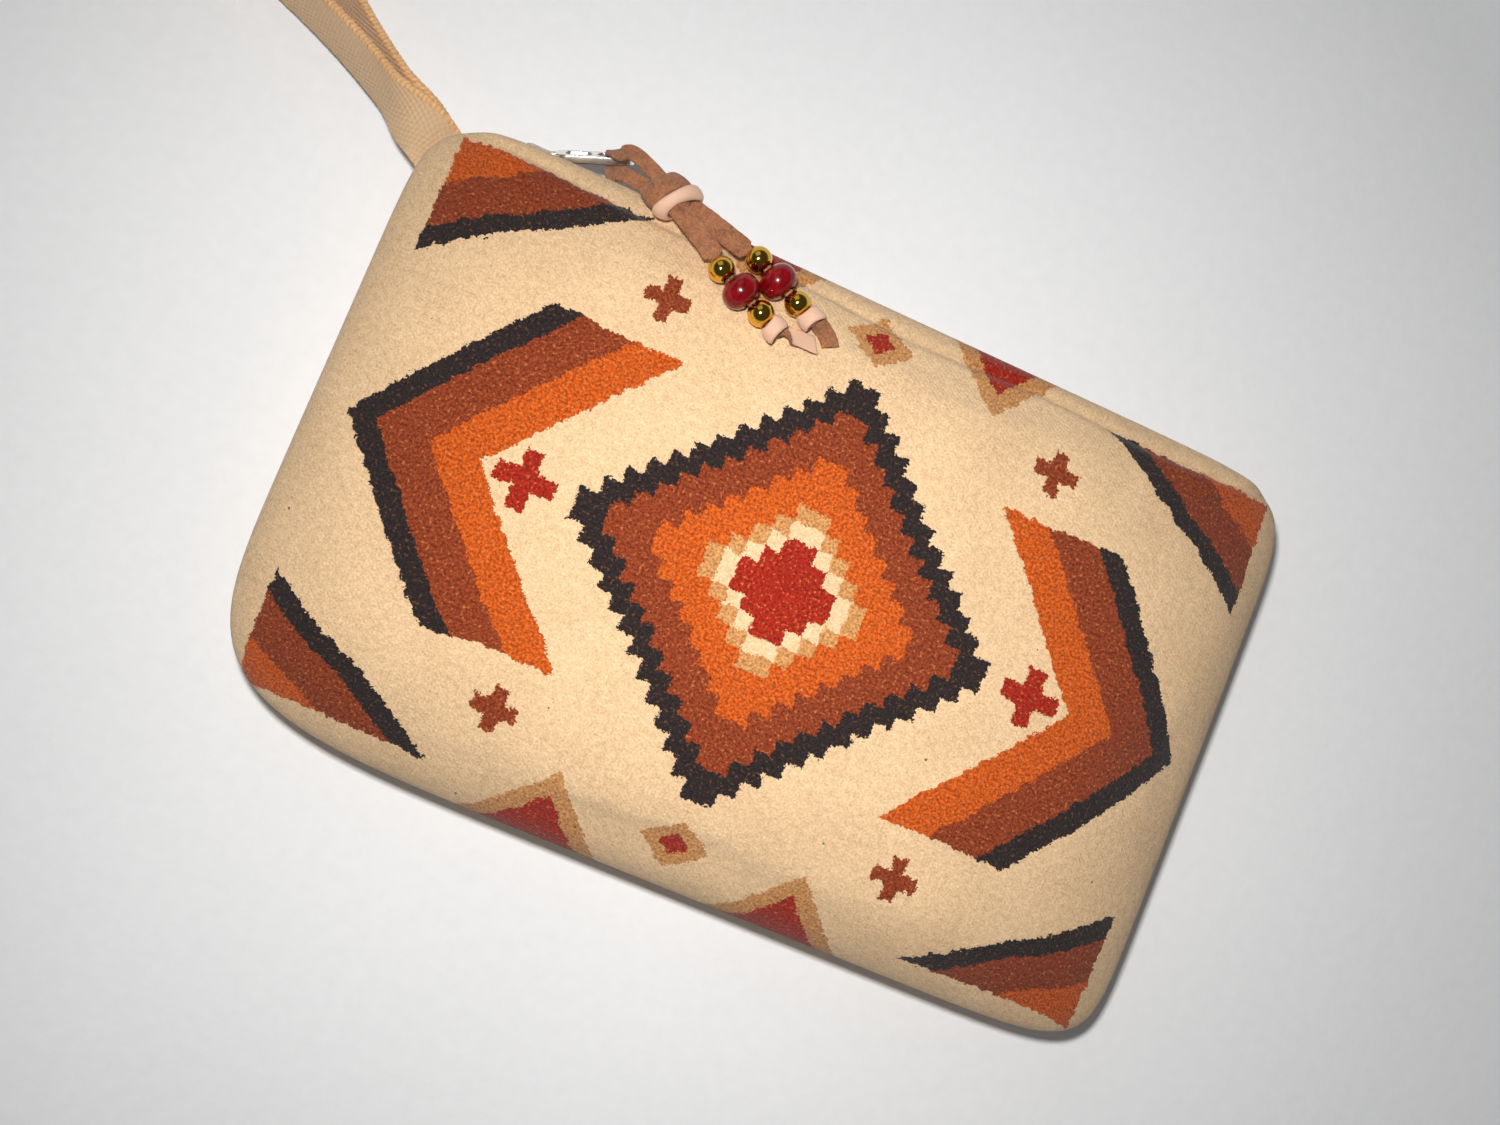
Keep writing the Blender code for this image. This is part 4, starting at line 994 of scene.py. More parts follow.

# %% [markdown]
# Both panels are made by the same steps, with their own flatness and size. A Solidify modifier
# gives the cloth its thickness, inwards from the outer face.

# %% Wool panels
def wool_panel(name, side, material, flat, shoulder, top, grid, cap):
    x, y, points, u, v = panel_surface(side, flat, shoulder, top, grid, cap)
    rings, ring_uvs = turned_edge(side, x, y, points, u, v)
    columns, rows = grid
    index = np.arange((rows + 1) * (columns + 1)).reshape(rows + 1, columns + 1)
    first = [int(i) for i in edge_loop(index)]
    faces = grid_faces(columns, rows, side) + edge_faces(first, index.size, side)
    mesh = bpy.data.meshes.new(name)
    mesh.from_pydata(np.concatenate([points.reshape(-1, 3), *rings]).tolist(), [], faces)
    flat_uv = np.concatenate([np.stack([u, v], axis=2).reshape(-1, 2), *ring_uvs])
    layer = mesh.uv_layers.new(name="cloth")
    corners = np.zeros(len(mesh.loops), dtype=np.int32)
    mesh.loops.foreach_get("vertex_index", corners)
    layer.data.foreach_set("uv", flat_uv[corners].astype(np.float32).ravel())
    piece = new_piece(name, mesh, material)
    wall = piece.modifiers.new("cloth wall", "SOLIDIFY")
    wall.thickness = WOOL
    wall.offset = -1
    wall.use_even_offset = True
    print(name, "faces:", len(mesh.polygons), "cloth:", flat_uv.min(0).round(3),
          flat_uv.max(0).round(3))
    return piece


front = wool_panel("wool_front", 1, WOOL_FRONT, flat=FRONT_FLAT, shoulder=FRONT_SHOULDER,
                   top=THICKNESS, grid=(190, 126), cap=0.0012)
back = wool_panel("wool_back", -1, WOOL_BACK, flat=BACK_FLAT, shoulder=BACK_SHOULDER,
                  top=0.0, grid=(150, 100), cap=0.0010)
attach(front, "pouch")
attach(back, "pouch")
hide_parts("front_panel")
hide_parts("back_panel")

# %% [markdown]
# Suede is the flesh side of leather: matt, with a short nap that leans in streaks. The other side
# of the same lace is the smooth grain, pale and a little pink. One material shows both, because
# every swept strip stores which side each point is on.

# %% Suede lace material
def attribute_value(tree, name):
    node = tree.nodes.new("ShaderNodeAttribute")
    node.attribute_name = name
    return Term(tree, node.outputs["Fac"])


def lace_material(name, grain_side):
    material, tree, shader = new_material(name)
    place = object_place(tree)
    nap = noise(tree, place, 1700.0, 3.0, 0.7)
    streak = noise(tree, place, 480.0, 2.0)
    cloud = noise(tree, place, 140.0, 2.0)
    shade = (nap - 0.5) * 1.9 + (streak - 0.5) * 0.8 + (cloud - 0.5) * 0.4 + 1.0
    suede = blend_colors(tree, 1.0, SUEDE_BROWN, shade, "MULTIPLY")
    pale_shade = (nap - 0.5) * 0.16 + (cloud - 0.5) * 0.18 + 1.0
    grain = blend_colors(tree, 1.0, GRAIN_PINK, pale_shade, "MULTIPLY")
    side = attribute_value(tree, "side")
    if grain_side == "outside":
        share = spread(tree, side + (nap - 0.5) * 0.2, -0.35, 0.1)
    elif grain_side == "inside":
        share = spread(tree, side * -1.0 + (nap - 0.5) * 0.2, 0.35, 0.6)
    else:
        share = spread(tree, side.size() * -1.0 + (nap - 0.5) * 0.2, -0.35, 0.0) * 0.7
    color = blend_colors(tree, share, suede, grain)
    tree.links.new(color, shader.inputs["Base Color"])
    plug(tree, share * -0.35 + 0.92, shader.inputs["Roughness"])
    shader.inputs["Specular IOR Level"].default_value = 0.25
    shader.inputs["Sheen Weight"].default_value = 0.15
    height = nap * (share * -0.8 + 1.0) + streak * 0.3
    add_bump(tree, shader, height, 0.0005, 0.9)
    return material


SUEDE_OUT = lace_material("suede_outside", "inside")
GRAIN_OUT = lace_material("grain_outside", "outside")
SUEDE_BOTH = lace_material("suede_both_faces", "edges")
print("lace materials ready")

# %% [markdown]
# The loop through the tab is a swept strip, and so are the two strands after it. At the slot the
# loop's width follows the tab, and from there to the knot it turns level.

# %% The lace's loop
LOOP_STEPS = 10
LOOP_FACE_WIDTH = 0.0036
LOOP_RIPPLE = 0.03
LOOP_FLATTENS = (0.16, 0.50)

loop_path = smooth_path(LOOP_POINTS, LOOP_STEPS)
loop_across = carried(loop_path, len(loop_path) // 2, LOOP_ACROSS)
loop_along = directions(loop_path)
for i, held in enumerate(loop_across):
    from_middle = abs(2 * i / (len(loop_path) - 1) - 1)
    flat = loop_along[i].cross(UP).normalized()
    if flat.dot(held) < 0:
        flat.negate()
    loop_across[i] = held.lerp(flat, float(smoothstep(*LOOP_FLATTENS, from_middle)))
loop_mesh = sweep_strip("lace_loop", loop_path, loop_across, [LOOP_FACE_WIDTH] * len(loop_path),
                        [LACE_THICKNESS] * len(loop_path), LOOP_RIPPLE)
lace_loop = new_piece("lace_loop", loop_mesh, SUEDE_BOTH)
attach(lace_loop, "pull")
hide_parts("lace")
print(lace_loop.name, round(path_length(loop_path) * 1000, 1), "mm")

# %% [markdown]
# Each strand starts inside the knot, bows up a little, runs through its beads and its end knot,
# and ends in a cut tail. It is wide where its face shows, before the beads. It is folded narrow
# inside them, and past the end knot it opens again and twists.

# %% A strand's path and sizes
STRAND_STEPS = 10
MIDDLE_BEAD_AT = 4
END_KNOT_AT = 6
KNOT_INSIDE = 0.0012
KNOT_SPREAD = 0.0010
KNOT_STACK = 0.0006
LEAD_IN = 0.0042
LEAD_SHIFT = 0.0011
BOW_RISE = 0.0007
STRAND_FACE_WIDTH = 0.0049
STRAND_RIPPLE = 0.04
STRAND_NARROWS = (-0.0037, -0.0027)
TAIL_WIDTH = 0.0040
TAIL_OPENS = (0.05, 0.35)
TAIL_TURNS = (0.02, 0.5)

leads = [Vector(strand["lead"]) for strand in STRANDS]
knot_along = ((leads[0] + leads[1]) / 2 - KNOT).normalized()
knot_across = (leads[1] - leads[0]).normalized()
knot_across = (knot_across - knot_along * knot_across.dot(knot_along)).normalized()


def strand_line(strand, side):
    """A strand's path, from inside the knot to the cut tip."""
    beads, fall = bead_line(strand)
    start = KNOT + knot_along * KNOT_INSIDE + knot_across * (side * KNOT_SPREAD)
    start.z -= side * KNOT_STACK
    lead = beads[0] - fall * LEAD_IN - knot_across * (side * LEAD_SHIFT)
    bow = start.lerp(lead, 0.5) + UP * BOW_RISE
    return smooth_path([start, bow, lead, *beads, strand["end_knot"], *strand["tail"]],
                       STRAND_STEPS)


def strand_sizes(strand, path):
    """The strand's width, thickness and twist at each point of its path."""
    beads, fall = bead_line(strand)
    runs = [0.0]
    for a, b in zip(path, path[1:]):
        runs.append(runs[-1] + (b - a).length)
    knot_run = runs[END_KNOT_AT * STRAND_STEPS]
    widths = []
    thicknesses = []
    twists = []
    for place, run in zip(path, runs):
        after = (run - knot_run) / (runs[-1] - knot_run)
        wide = 1.0 - smoothstep(*STRAND_NARROWS, (place - beads[0]).dot(fall))
        loose = smoothstep(*TAIL_OPENS, after)
        widths.append(STRAND_WIDTH + (STRAND_FACE_WIDTH - STRAND_WIDTH) * wide
                      + (TAIL_WIDTH - STRAND_WIDTH) * loose)
        thicknesses.append(mix(STRAND_THICKNESS, LACE_THICKNESS, max(wide, loose)))
        twists.append(strand["tail_twist"] * smoothstep(*TAIL_TURNS, after))
    return widths, thicknesses, twists


print("strands leave the knot along:", [round(v, 3) for v in knot_along])

# %% [markdown]
# Both strands are swept with those numbers. The width directions are carried from the middle
# bead, and the tail's twist turns them further.

# %% The two strands
strand_pieces = []
for number, strand in enumerate(STRANDS, start=1):
    path = strand_line(strand, -1 if number == 1 else 1)
    widths, thicknesses, twists = strand_sizes(strand, path)
    across = UP.cross(bead_line(strand)[1]).normalized()
    acrosses = carried(path, MIDDLE_BEAD_AT * STRAND_STEPS, across)
    acrosses = [Quaternion(ahead, twist) @ held
                for ahead, twist, held in zip(directions(path), twists, acrosses)]
    mesh = sweep_strip(f"lace_strand_{number}", path, acrosses, widths, thicknesses,
                       STRAND_RIPPLE, cut=strand["tail_cut"])
    piece = new_piece(f"lace_strand_{number}", mesh, SUEDE_OUT)
    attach(piece, "pull")
    strand_pieces.append((piece, path, path_length(path)))
    print(piece.name, round(path_length(path) * 1000, 1), "mm")

# %% [markdown]
# A knot in a flat lace shows as wraps: bands that go round the bundle side by side. Each wrap is
# a closed ring of strip round an oval, tilted a little. The upper wrap shows the brown side and
# the lower one the pale grain side, and the two end knots show the grain side too. Inside each
# knot the lace is folded tight, so a blunt plug of suede fills the wraps.

# %% Shapes of a knot
WRAP_STEPS = 56
WRAP_SECTION_POINTS = 18
WRAP_SQUARENESS = 2.8
PLUG_STEPS = 12
PLUG_SIDES = 28
PLUG_TAPER = 0.40


def wrap_mesh(name, middle, along, across, half_width, half_depth, band, thick, tilt, flare):
    """A ring of lace round a bundle: a soft-edged band that leans by tilt and opens by flare."""
    depth = along.cross(across).normalized()
    section = strip_section(WRAP_SECTION_POINTS, WRAP_SQUARENESS)
    rings = []
    numbers = {"along": [], "across": [], "side": []}
    for k in range(WRAP_STEPS):
        turn = 2 * math.pi * k / WRAP_STEPS
        out = (across * math.cos(turn) * half_width + depth * math.sin(turn) * half_depth)
        direction = out.normalized()
        width = band * (1.0 + 0.10 * math.sin(turn * 2 + 0.8))
        center = middle + out + along * (tilt * math.cos(turn) * half_width)
        ring = []
        for a, b in section:
            open_out = direction * (a * width / 2 * flare)
            bulge = thick / 2 * b * (1.0 + 0.25 * (1 - a * a))
            ring.append(center + along * (a * width / 2) + open_out + direction * bulge)
            numbers["along"].append(turn * half_width)
            numbers["across"].append(a * width / 2)
            numbers["side"].append(b)
        rings.append(ring)
    return skin_rings(name, rings, numbers, closed_path=True)


def core_mesh(name, middle, along, across, half_width, half_depth, half_length):
    """The folded lace inside a knot, as one blunt plug."""
    depth = along.cross(across).normalized()
    rings = []
    for k in range(PLUG_STEPS + 1):
        share = 2 * k / PLUG_STEPS - 1
        size = 1.0 - PLUG_TAPER * share ** 4
        rings.append([
            middle + along * (share * half_length)
            + across * (math.cos(2 * math.pi * i / PLUG_SIDES) * half_width * size)
            + depth * (math.sin(2 * math.pi * i / PLUG_SIDES) * half_depth * size)
            for i in range(PLUG_SIDES)
        ])
    return skin_rings(name, rings, {"side": [1.0] * (len(rings) * PLUG_SIDES)})


print("wrap points around:", WRAP_STEPS, "plug points around:", PLUG_SIDES)

# %% [markdown]
# The large knot sits where the two strands leave the loop. A smaller wrap closes each strand
# under its beads.

# %% Knots
upper_mesh = wrap_mesh("knot_wrap_upper", KNOT - knot_along * 0.0022, knot_along, knot_across,
                       half_width=0.0042, half_depth=0.0032, band=0.0052, thick=0.0020,
                       tilt=0.26, flare=0.10)
knot_upper = new_piece("knot_wrap_upper", upper_mesh, SUEDE_OUT)
lower_mesh = wrap_mesh("knot_wrap_lower", KNOT + knot_along * 0.0020, knot_along, knot_across,
                       half_width=0.0047, half_depth=0.0036, band=0.0033, thick=0.0020,
                       tilt=0.30, flare=-0.22)
knot_lower = new_piece("knot_wrap_lower", lower_mesh, GRAIN_OUT)
inside_mesh = core_mesh("knot_inside", KNOT, knot_along, knot_across,
                        half_width=0.0036, half_depth=0.0027, half_length=0.0040)
knot_inside = new_piece("knot_inside", inside_mesh, SUEDE_OUT)
knot_pieces = [knot_upper, knot_lower, knot_inside]
end_knots = []
end_insides = []
for number, strand in enumerate(STRANDS, start=1):
    fall = bead_line(strand)[1]
    across = fall.cross(UP).normalized()
    middle = Vector(strand["end_knot"])
    mesh = wrap_mesh(f"end_knot_{number}", middle, fall, across,
                     half_width=0.0023, half_depth=0.0021, band=0.0036, thick=0.0013,
                     tilt=strand["end_tilt"], flare=0.12)
    end_knots.append(new_piece(f"end_knot_{number}", mesh, GRAIN_OUT))
    mesh = core_mesh(f"end_knot_inside_{number}", middle, fall, across,
                     half_width=0.0019, half_depth=0.0017, half_length=0.0018)
    end_insides.append(new_piece(f"end_knot_inside_{number}", mesh, SUEDE_OUT))
for piece in knot_pieces + end_knots + end_insides:
    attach(piece, "pull")
print("pieces of knots:", len(knot_pieces + end_knots + end_insides))

# %% [markdown]
# The beads are turned shapes, so each is a half section spun round its hole. The profile is a
# squarish oval that is cut off at the hole, and the bore runs through it.

# %% Shape of a bead
GOLD_SHAPE = {"radius": 0.0031, "half_length": 0.0030, "hole": 0.00155, "squareness": 2.0}
RED_SHAPE = {"radius": 0.0045, "half_length": 0.0035, "hole": 0.0019, "squareness": 2.3}
BEAD_STEPS = 64
PROFILE_STEPS = 28
BORE_SHARE = 0.55
HOLE_LIP = 0.00012


def bead_profile(radius, half_length, hole, squareness):
    """The half section of a bead: how far out and how high each of its points is."""
    edge = half_length * (1 - (hole / radius) ** squareness) ** (1 / squareness)
    low = math.asin(edge / half_length)
    profile = [(hole, -edge * BORE_SHARE), (hole, edge * BORE_SHARE)]
    for k in range(PROFILE_STEPS + 1):
        turn = low - 2 * low * k / PROFILE_STEPS
        reach = radius * max(1 - abs(math.sin(turn)) ** squareness, 0.0) ** (1 / squareness)
        profile.append((max(reach, hole + HOLE_LIP), half_length * math.sin(turn)))
    return profile


def bead_mesh(name, shape, place, along):
    """A bead's half section, spun round the hole."""
    profile = bead_profile(**shape)
    count = len(profile)
    points = []
    faces = []
    for s in range(BEAD_STEPS):
        turn = 2 * math.pi * s / BEAD_STEPS
        for reach, height in profile:
            points.append((reach * math.cos(turn), reach * math.sin(turn), height))
        other = (s + 1) % BEAD_STEPS
        for k in range(count):
            m = (k + 1) % count
            faces.append((s * count + k, s * count + m, other * count + m, other * count + k))
    mesh = bpy.data.meshes.new(name)
    mesh.from_pydata(points, [], faces)
    turned = along.to_track_quat("Z", "Y").to_matrix().to_4x4()
    mesh.transform(Matrix.Translation(place) @ turned)
    face_outwards(mesh)
    return mesh


print("bead section points:", len(bead_profile(**GOLD_SHAPE)))

# %% [markdown]
# The gold beads are plated and mirror-like, with a trace of haze. The red ones are glass with a
# clear coat and faint darker streaks that run round them.

# %% Looks of the beads
def gold_material():
    material, tree, shader = new_material("plated_gold")
    place = object_place(tree)
    haze = noise(tree, place, 900.0, 3.0)
    scuff = noise(tree, place, 3500.0, 2.0)
    color = blend_colors(tree, haze, from_picture(222, 172, 62), from_picture(238, 192, 84))
    tree.links.new(color, shader.inputs["Base Color"])
    shader.inputs["Metallic"].default_value = 1.0
    plug(tree, haze * 0.08 + 0.06, shader.inputs["Roughness"])
    add_bump(tree, shader, scuff, 0.00002, 0.25)
    return material


def red_bead_material():
    material, tree, shader = new_material("red_glass")
    place = object_place(tree)
    stretched = tree.nodes.new("ShaderNodeMapping")
    tree.links.new(place, stretched.inputs["Vector"])
    stretched.inputs["Rotation"].default_value = (0.0, 0.0, math.radians(24))
    stretched.inputs["Scale"].default_value = (2.2, 0.5, 0.5)
    streak = noise(tree, stretched.outputs["Vector"], 700.0, 3.0)
    cloud = noise(tree, place, 260.0, 1.0)
    share = spread(tree, streak * 0.7 + cloud * 0.3, 0.36, 0.66)
    color = blend_colors(tree, share, from_picture(98, 4, 10), from_picture(144, 12, 22))
    tree.links.new(color, shader.inputs["Base Color"])
    shader.inputs["Roughness"].default_value = 0.22
    shader.inputs["Specular IOR Level"].default_value = 0.25
    shader.inputs["Coat Weight"].default_value = 0.5
    shader.inputs["Coat Roughness"].default_value = 0.05
    shader.inputs["Coat IOR"].default_value = 1.35
    shader.inputs["Subsurface Weight"].default_value = 0.05
    shader.inputs["Subsurface Radius"].default_value = (0.002, 0.0004, 0.0004)
    shader.inputs["Subsurface Scale"].default_value = 0.5
    add_bump(tree, shader, cloud, 0.0001, 0.3)
    return material


GOLD = gold_material()
RED_GLASS = red_bead_material()
print("bead materials:", GOLD.name, RED_GLASS.name)

# %% [markdown]
# Each strand carries a gold bead, a red one and another gold one. Every bead stands for its own
# node of the CAD model.

# %% Beads
bead_pieces = {1: [], 2: []}
gold_number = 1
for number, strand in enumerate(STRANDS, start=1):
    places, fall = bead_line(strand)
    for place in (places[0], places[2]):
        name = f"gold_bead_{gold_number}_turned"
        bead = new_piece(name, bead_mesh(name, GOLD_SHAPE, place, fall), GOLD)
        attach(bead, "pull")
        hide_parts(f"gold_bead_{gold_number}")
        bead_pieces[number].append(bead)
        gold_number += 1
    name = f"red_bead_{number}_turned"
    bead = new_piece(name, bead_mesh(name, RED_SHAPE, places[1], fall), RED_GLASS)
    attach(bead, "pull")
    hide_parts(f"red_bead_{number}")
    bead_pieces[number].append(bead)
print("beads:", sum(len(found) for found in bead_pieces.values()))

# %% [markdown]
# The lace is the part's free cord, in three lengths that meet in the knot.

path_length(loop_path)
for number, (piece, path, length) in enumerate(strand_pieces, start=1):
    end_knots[number - 1]
    end_insides[number - 1]
print("cords declared:", 1 + len(strand_pieces))

# %% [markdown]
# The wrist strap is cotton webbing folded to a loop, with both ends sewn into the seam. Its
# sizes are those of the CAD source, in metres. The spans are shares of its length: from where
# to where its plies part, turn up on edge and stand upright.

# %% Sizes of the strap
STRAP_WIDTH = 0.0130
STRAP_THICKNESS = 0.0019
STRAP_LENGTH = 0.155
STRAP_OPENING = 0.034
STRAP_TUCK = 0.0011
STRAP_LEAN = math.radians(24)
STRAP_BASE = Vector((-0.109603, 0.064175, 0.0))
STRAP_HEADING = Vector((-0.848048, 0.529919, 0.0))
STRAP_SPREAD = 0.0005
STRAP_SPREAD_SPAN = (0.0, 0.06)
STRAP_SWELL_SPAN = (0.10, 0.78)
STRAP_TURN_SPAN = (0.0, 0.12)
STRAP_LEVEL_SPAN = (0.16, 0.5)
STRAP_UPRIGHT_SPAN = (0.55, 1.0)
STRAP_BEND_SHARE = 0.70
STRAP_PRESSED_SHARE = 0.35
STRAP_PRESS_LENGTH = 0.004
STRAP_DROP_LENGTH = 0.055
STRAP_CROWDING = 1.6
STRAP_STEPS = 300
STRAP_SPACING = 0.00024
print("strap loop:", STRAP_LENGTH, "m long,", STRAP_OPENING, "m wide")

# %% [markdown]
# The webbing lies flat in the seam, turns up on its edge within the first two centimetres, and
# stands upright at its far bend. Points along it are then spaced evenly, closer than one turn of
# its weave, so that the relief of the weave fits on them.

# %% Route of the strap
def strap_gap(share):
    """Half the distance between the two plies."""
    closed = STRAP_THICKNESS / 2 + CLEARANCE / 2
    closed += STRAP_SPREAD * smoothstep(*STRAP_SPREAD_SPAN, share)
    end = max((share - STRAP_BEND_SHARE) / (1.0 - STRAP_BEND_SHARE), 0.0)
    tip = math.sqrt(max(1.0 - end ** 2, 0.0))
    return mix(closed, STRAP_OPENING / 2, smoothstep(*STRAP_SWELL_SPAN, share)) * tip


def strap_line():
    """The strap's middle line, its width directions and thicknesses, from seam to seam."""
    sideways = Vector((STRAP_HEADING.y, -STRAP_HEADING.x, 0))
    shares = [math.sin(math.pi / 2 * k / STRAP_STEPS) ** STRAP_CROWDING
              for k in range(STRAP_STEPS + 1)]
    line = []
    for ply in (1, -1):
        for share in (shares if ply > 0 else shares[-2::-1]):
            run = share * (STRAP_LENGTH + STRAP_TUCK) - STRAP_TUCK
            lean = mix(math.pi / 2, STRAP_LEAN, smoothstep(*STRAP_TURN_SPAN, share))
            lean *= 1.0 - smoothstep(*STRAP_UPRIGHT_SPAN, share)
            part_lean = lean * (1.0 - smoothstep(*STRAP_LEVEL_SPAN, share))
            across = sideways * math.sin(lean) + UP * math.cos(lean)
            apart = sideways * math.cos(part_lean) - UP * math.sin(part_lean)
            fullness = mix(STRAP_PRESSED_SHARE, 1.0,
                           smoothstep(-STRAP_TUCK, STRAP_PRESS_LENGTH, run))
            gap = strap_gap(share) * fullness
            rest = STRAP_WIDTH / 2 * math.cos(lean) + STRAP_THICKNESS / 2 + CLEARANCE
            rest += gap * math.sin(part_lean)
            height = mix(SEAM_HEIGHT, rest, smoothstep(0.0, STRAP_DROP_LENGTH, run))
            center = STRAP_BASE + STRAP_HEADING * run + UP * height + apart * (gap * ply)
            line.append((center, across, fullness))
    return line


def evenly(line, spacing):
    """The same line with its points at an even distance."""
    lengths = [0.0]
    for a, b in zip(line, line[1:]):
        lengths.append(lengths[-1] + (b[0] - a[0]).length)
    count = int(lengths[-1] / spacing)
    found = []
    at = 0
    for k in range(count + 1):
        goal = lengths[-1] * k / count
        while at < len(line) - 2 and lengths[at + 1] < goal:
            at += 1
        t = (goal - lengths[at]) / max(lengths[at + 1] - lengths[at], 1e-9)
        a, b = line[at], line[at + 1]
        found.append((a[0].lerp(b[0], t), a[1].lerp(b[1], t), mix(a[2], b[2], t)))
    return found, lengths[-1]


line, whole_length = evenly(strap_line(), STRAP_SPACING)
print("strap steps:", len(line), "length:", round(whole_length * 1000), "mm")

# %% [markdown]
# The webbing's body is a fine herringbone. Its upper edge is thicker and rope-like, with turns
# that swell and wander, and its lower edge is a little ragged. The relief is real geometry: the
# surface rises and falls with the distance along the strap and across it.

# %% Weave of the strap
RIB_PITCH = 0.00105
RIB_RELIEF = 0.00004
COLUMN_WIDTH = 0.0019
ROPE_PITCH = 0.00105
ROPE_WIDTH = 0.0015
ROPE_RELIEF = 0.00008
ROPE_RAISE = 0.00013
RAGGED_SPAN = (0.0055, 0.0065)
RAGGED_RELIEF = 0.00008
SECTION_POINTS = 44
SECTION_SQUARENESS = 5.0
EDGE_POWER = 12


def strap_relief(run, across, side):
    """How far the weave stands out from the strap's plain faces."""
    column = across / COLUMN_WIDTH
    slant = abs((column % 2.0) - 1.0)
    rib = math.sin(2 * math.pi * (run / RIB_PITCH + slant * 1.15 + (0.5 if side < 0 else 0.0)))
    edge = smoothstep(STRAP_WIDTH / 2 - ROPE_WIDTH, STRAP_WIDTH / 2 - ROPE_WIDTH * 0.55, across)
    wander = 0.8 * math.sin(run * 710) + 0.7 * math.sin(run * 1730 + 2.0)
    rope = math.sin(2 * math.pi * run / ROPE_PITCH + across * 1500 + side * 1.4 + wander)
    swell = 1.0 + 0.4 * math.sin(run * 2900 + 1.0)
    ragged = smoothstep(*RAGGED_SPAN, -across) * RAGGED_RELIEF * math.sin(
        run * 4100 + wander * 3.0)
    return (RIB_RELIEF * rib * (1.0 - edge) + ragged
            + (ROPE_RELIEF * rope * swell + ROPE_RAISE) * edge)


section = strip_section(SECTION_POINTS, SECTION_SQUARENESS)
strap_along = directions([entry[0] for entry in line])
rings = []
numbers = {"along": [], "across": [], "side": [], "relief": []}
for i, (center, across, fullness) in enumerate(line):
    across = (across - strap_along[i] * across.dot(strap_along[i])).normalized()
    outward = strap_along[i].cross(across)
    run = whole_length * i / (len(line) - 1)
    ring = []
    for a, b in section:
        place = a * STRAP_WIDTH / 2
        relief = strap_relief(run, place, b)
        sideways = place + math.copysign(relief, a) * abs(a) ** EDGE_POWER
        ring.append(center + across * sideways
                    + outward * ((b * STRAP_THICKNESS / 2 + relief * b) * fullness))
        numbers["along"].append(run)
        numbers["across"].append(place)
        numbers["side"].append(b)
        numbers["relief"].append(relief)
    rings.append(ring)
strap_mesh = skin_rings("webbing_strap", rings, numbers)
print("strap rings:", len(rings), "of", len(section), "points")

# %% [markdown]
# The material reads the same relief, so that the raised yarn is paler than the gaps between: the
# gaps carry painted shade.

# %% Webbing strap
def webbing_material():
    material, tree, shader = new_material("cotton_webbing")
    place = object_place(tree)
    relief = attribute_value(tree, "relief")
    across = attribute_value(tree, "across")
    along = attribute_value(tree, "along")
    yarn = ((along * 2400.0) + across.size() * 5200.0).wave()
    fibre = noise(tree, place, 3000.0, 3.0, 0.7)
    cloud = noise(tree, place, 90.0, 2.0)
    # Painted shade: the gaps of the weave are coloured darker than the raised yarn, and the shade
    # below darkens them again.
    high = spread(tree, relief, -0.00009, 0.00022)
    edge = spread(tree, across, STRAP_WIDTH / 2 - ROPE_WIDTH, STRAP_WIDTH / 2 - 0.0010)
    face = blend_colors(tree, high, from_picture(208, 172, 134), WEBBING_TAN)
    rope = blend_colors(tree, high, from_picture(196, 142, 92), WEBBING_LIGHT)
    color = blend_colors(tree, edge, face, rope)
    shade = (fibre - 0.5) * 0.5 + (cloud - 0.5) * 0.25 + (high - 0.5) * 0.25 + yarn * 0.04 + 1.0
    color = blend_colors(tree, 1.0, color, shade, "MULTIPLY")
    tree.links.new(color, shader.inputs["Base Color"])
    shader.inputs["Roughness"].default_value = 0.9
    shader.inputs["Specular IOR Level"].default_value = 0.2
    shader.inputs["Sheen Weight"].default_value = 0.15
    add_bump(tree, shader, fibre * 0.6 + yarn * 0.25, 0.0003, 0.7)
    return material


strap = new_piece("webbing_strap", strap_mesh, webbing_material())
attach(strap, "pouch")
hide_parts("wrist_strap")
print("strap:", round(whole_length * 1000), "mm of webbing,", len(strap_mesh.polygons), "faces")

# %% [markdown]
# What repeats is set out with Geometry Nodes: a mesh of points says where each copy goes and
# which way it faces, and the tree puts one small element on every point. It makes the two rows
# of the zip. Its result is then turned into a plain mesh.

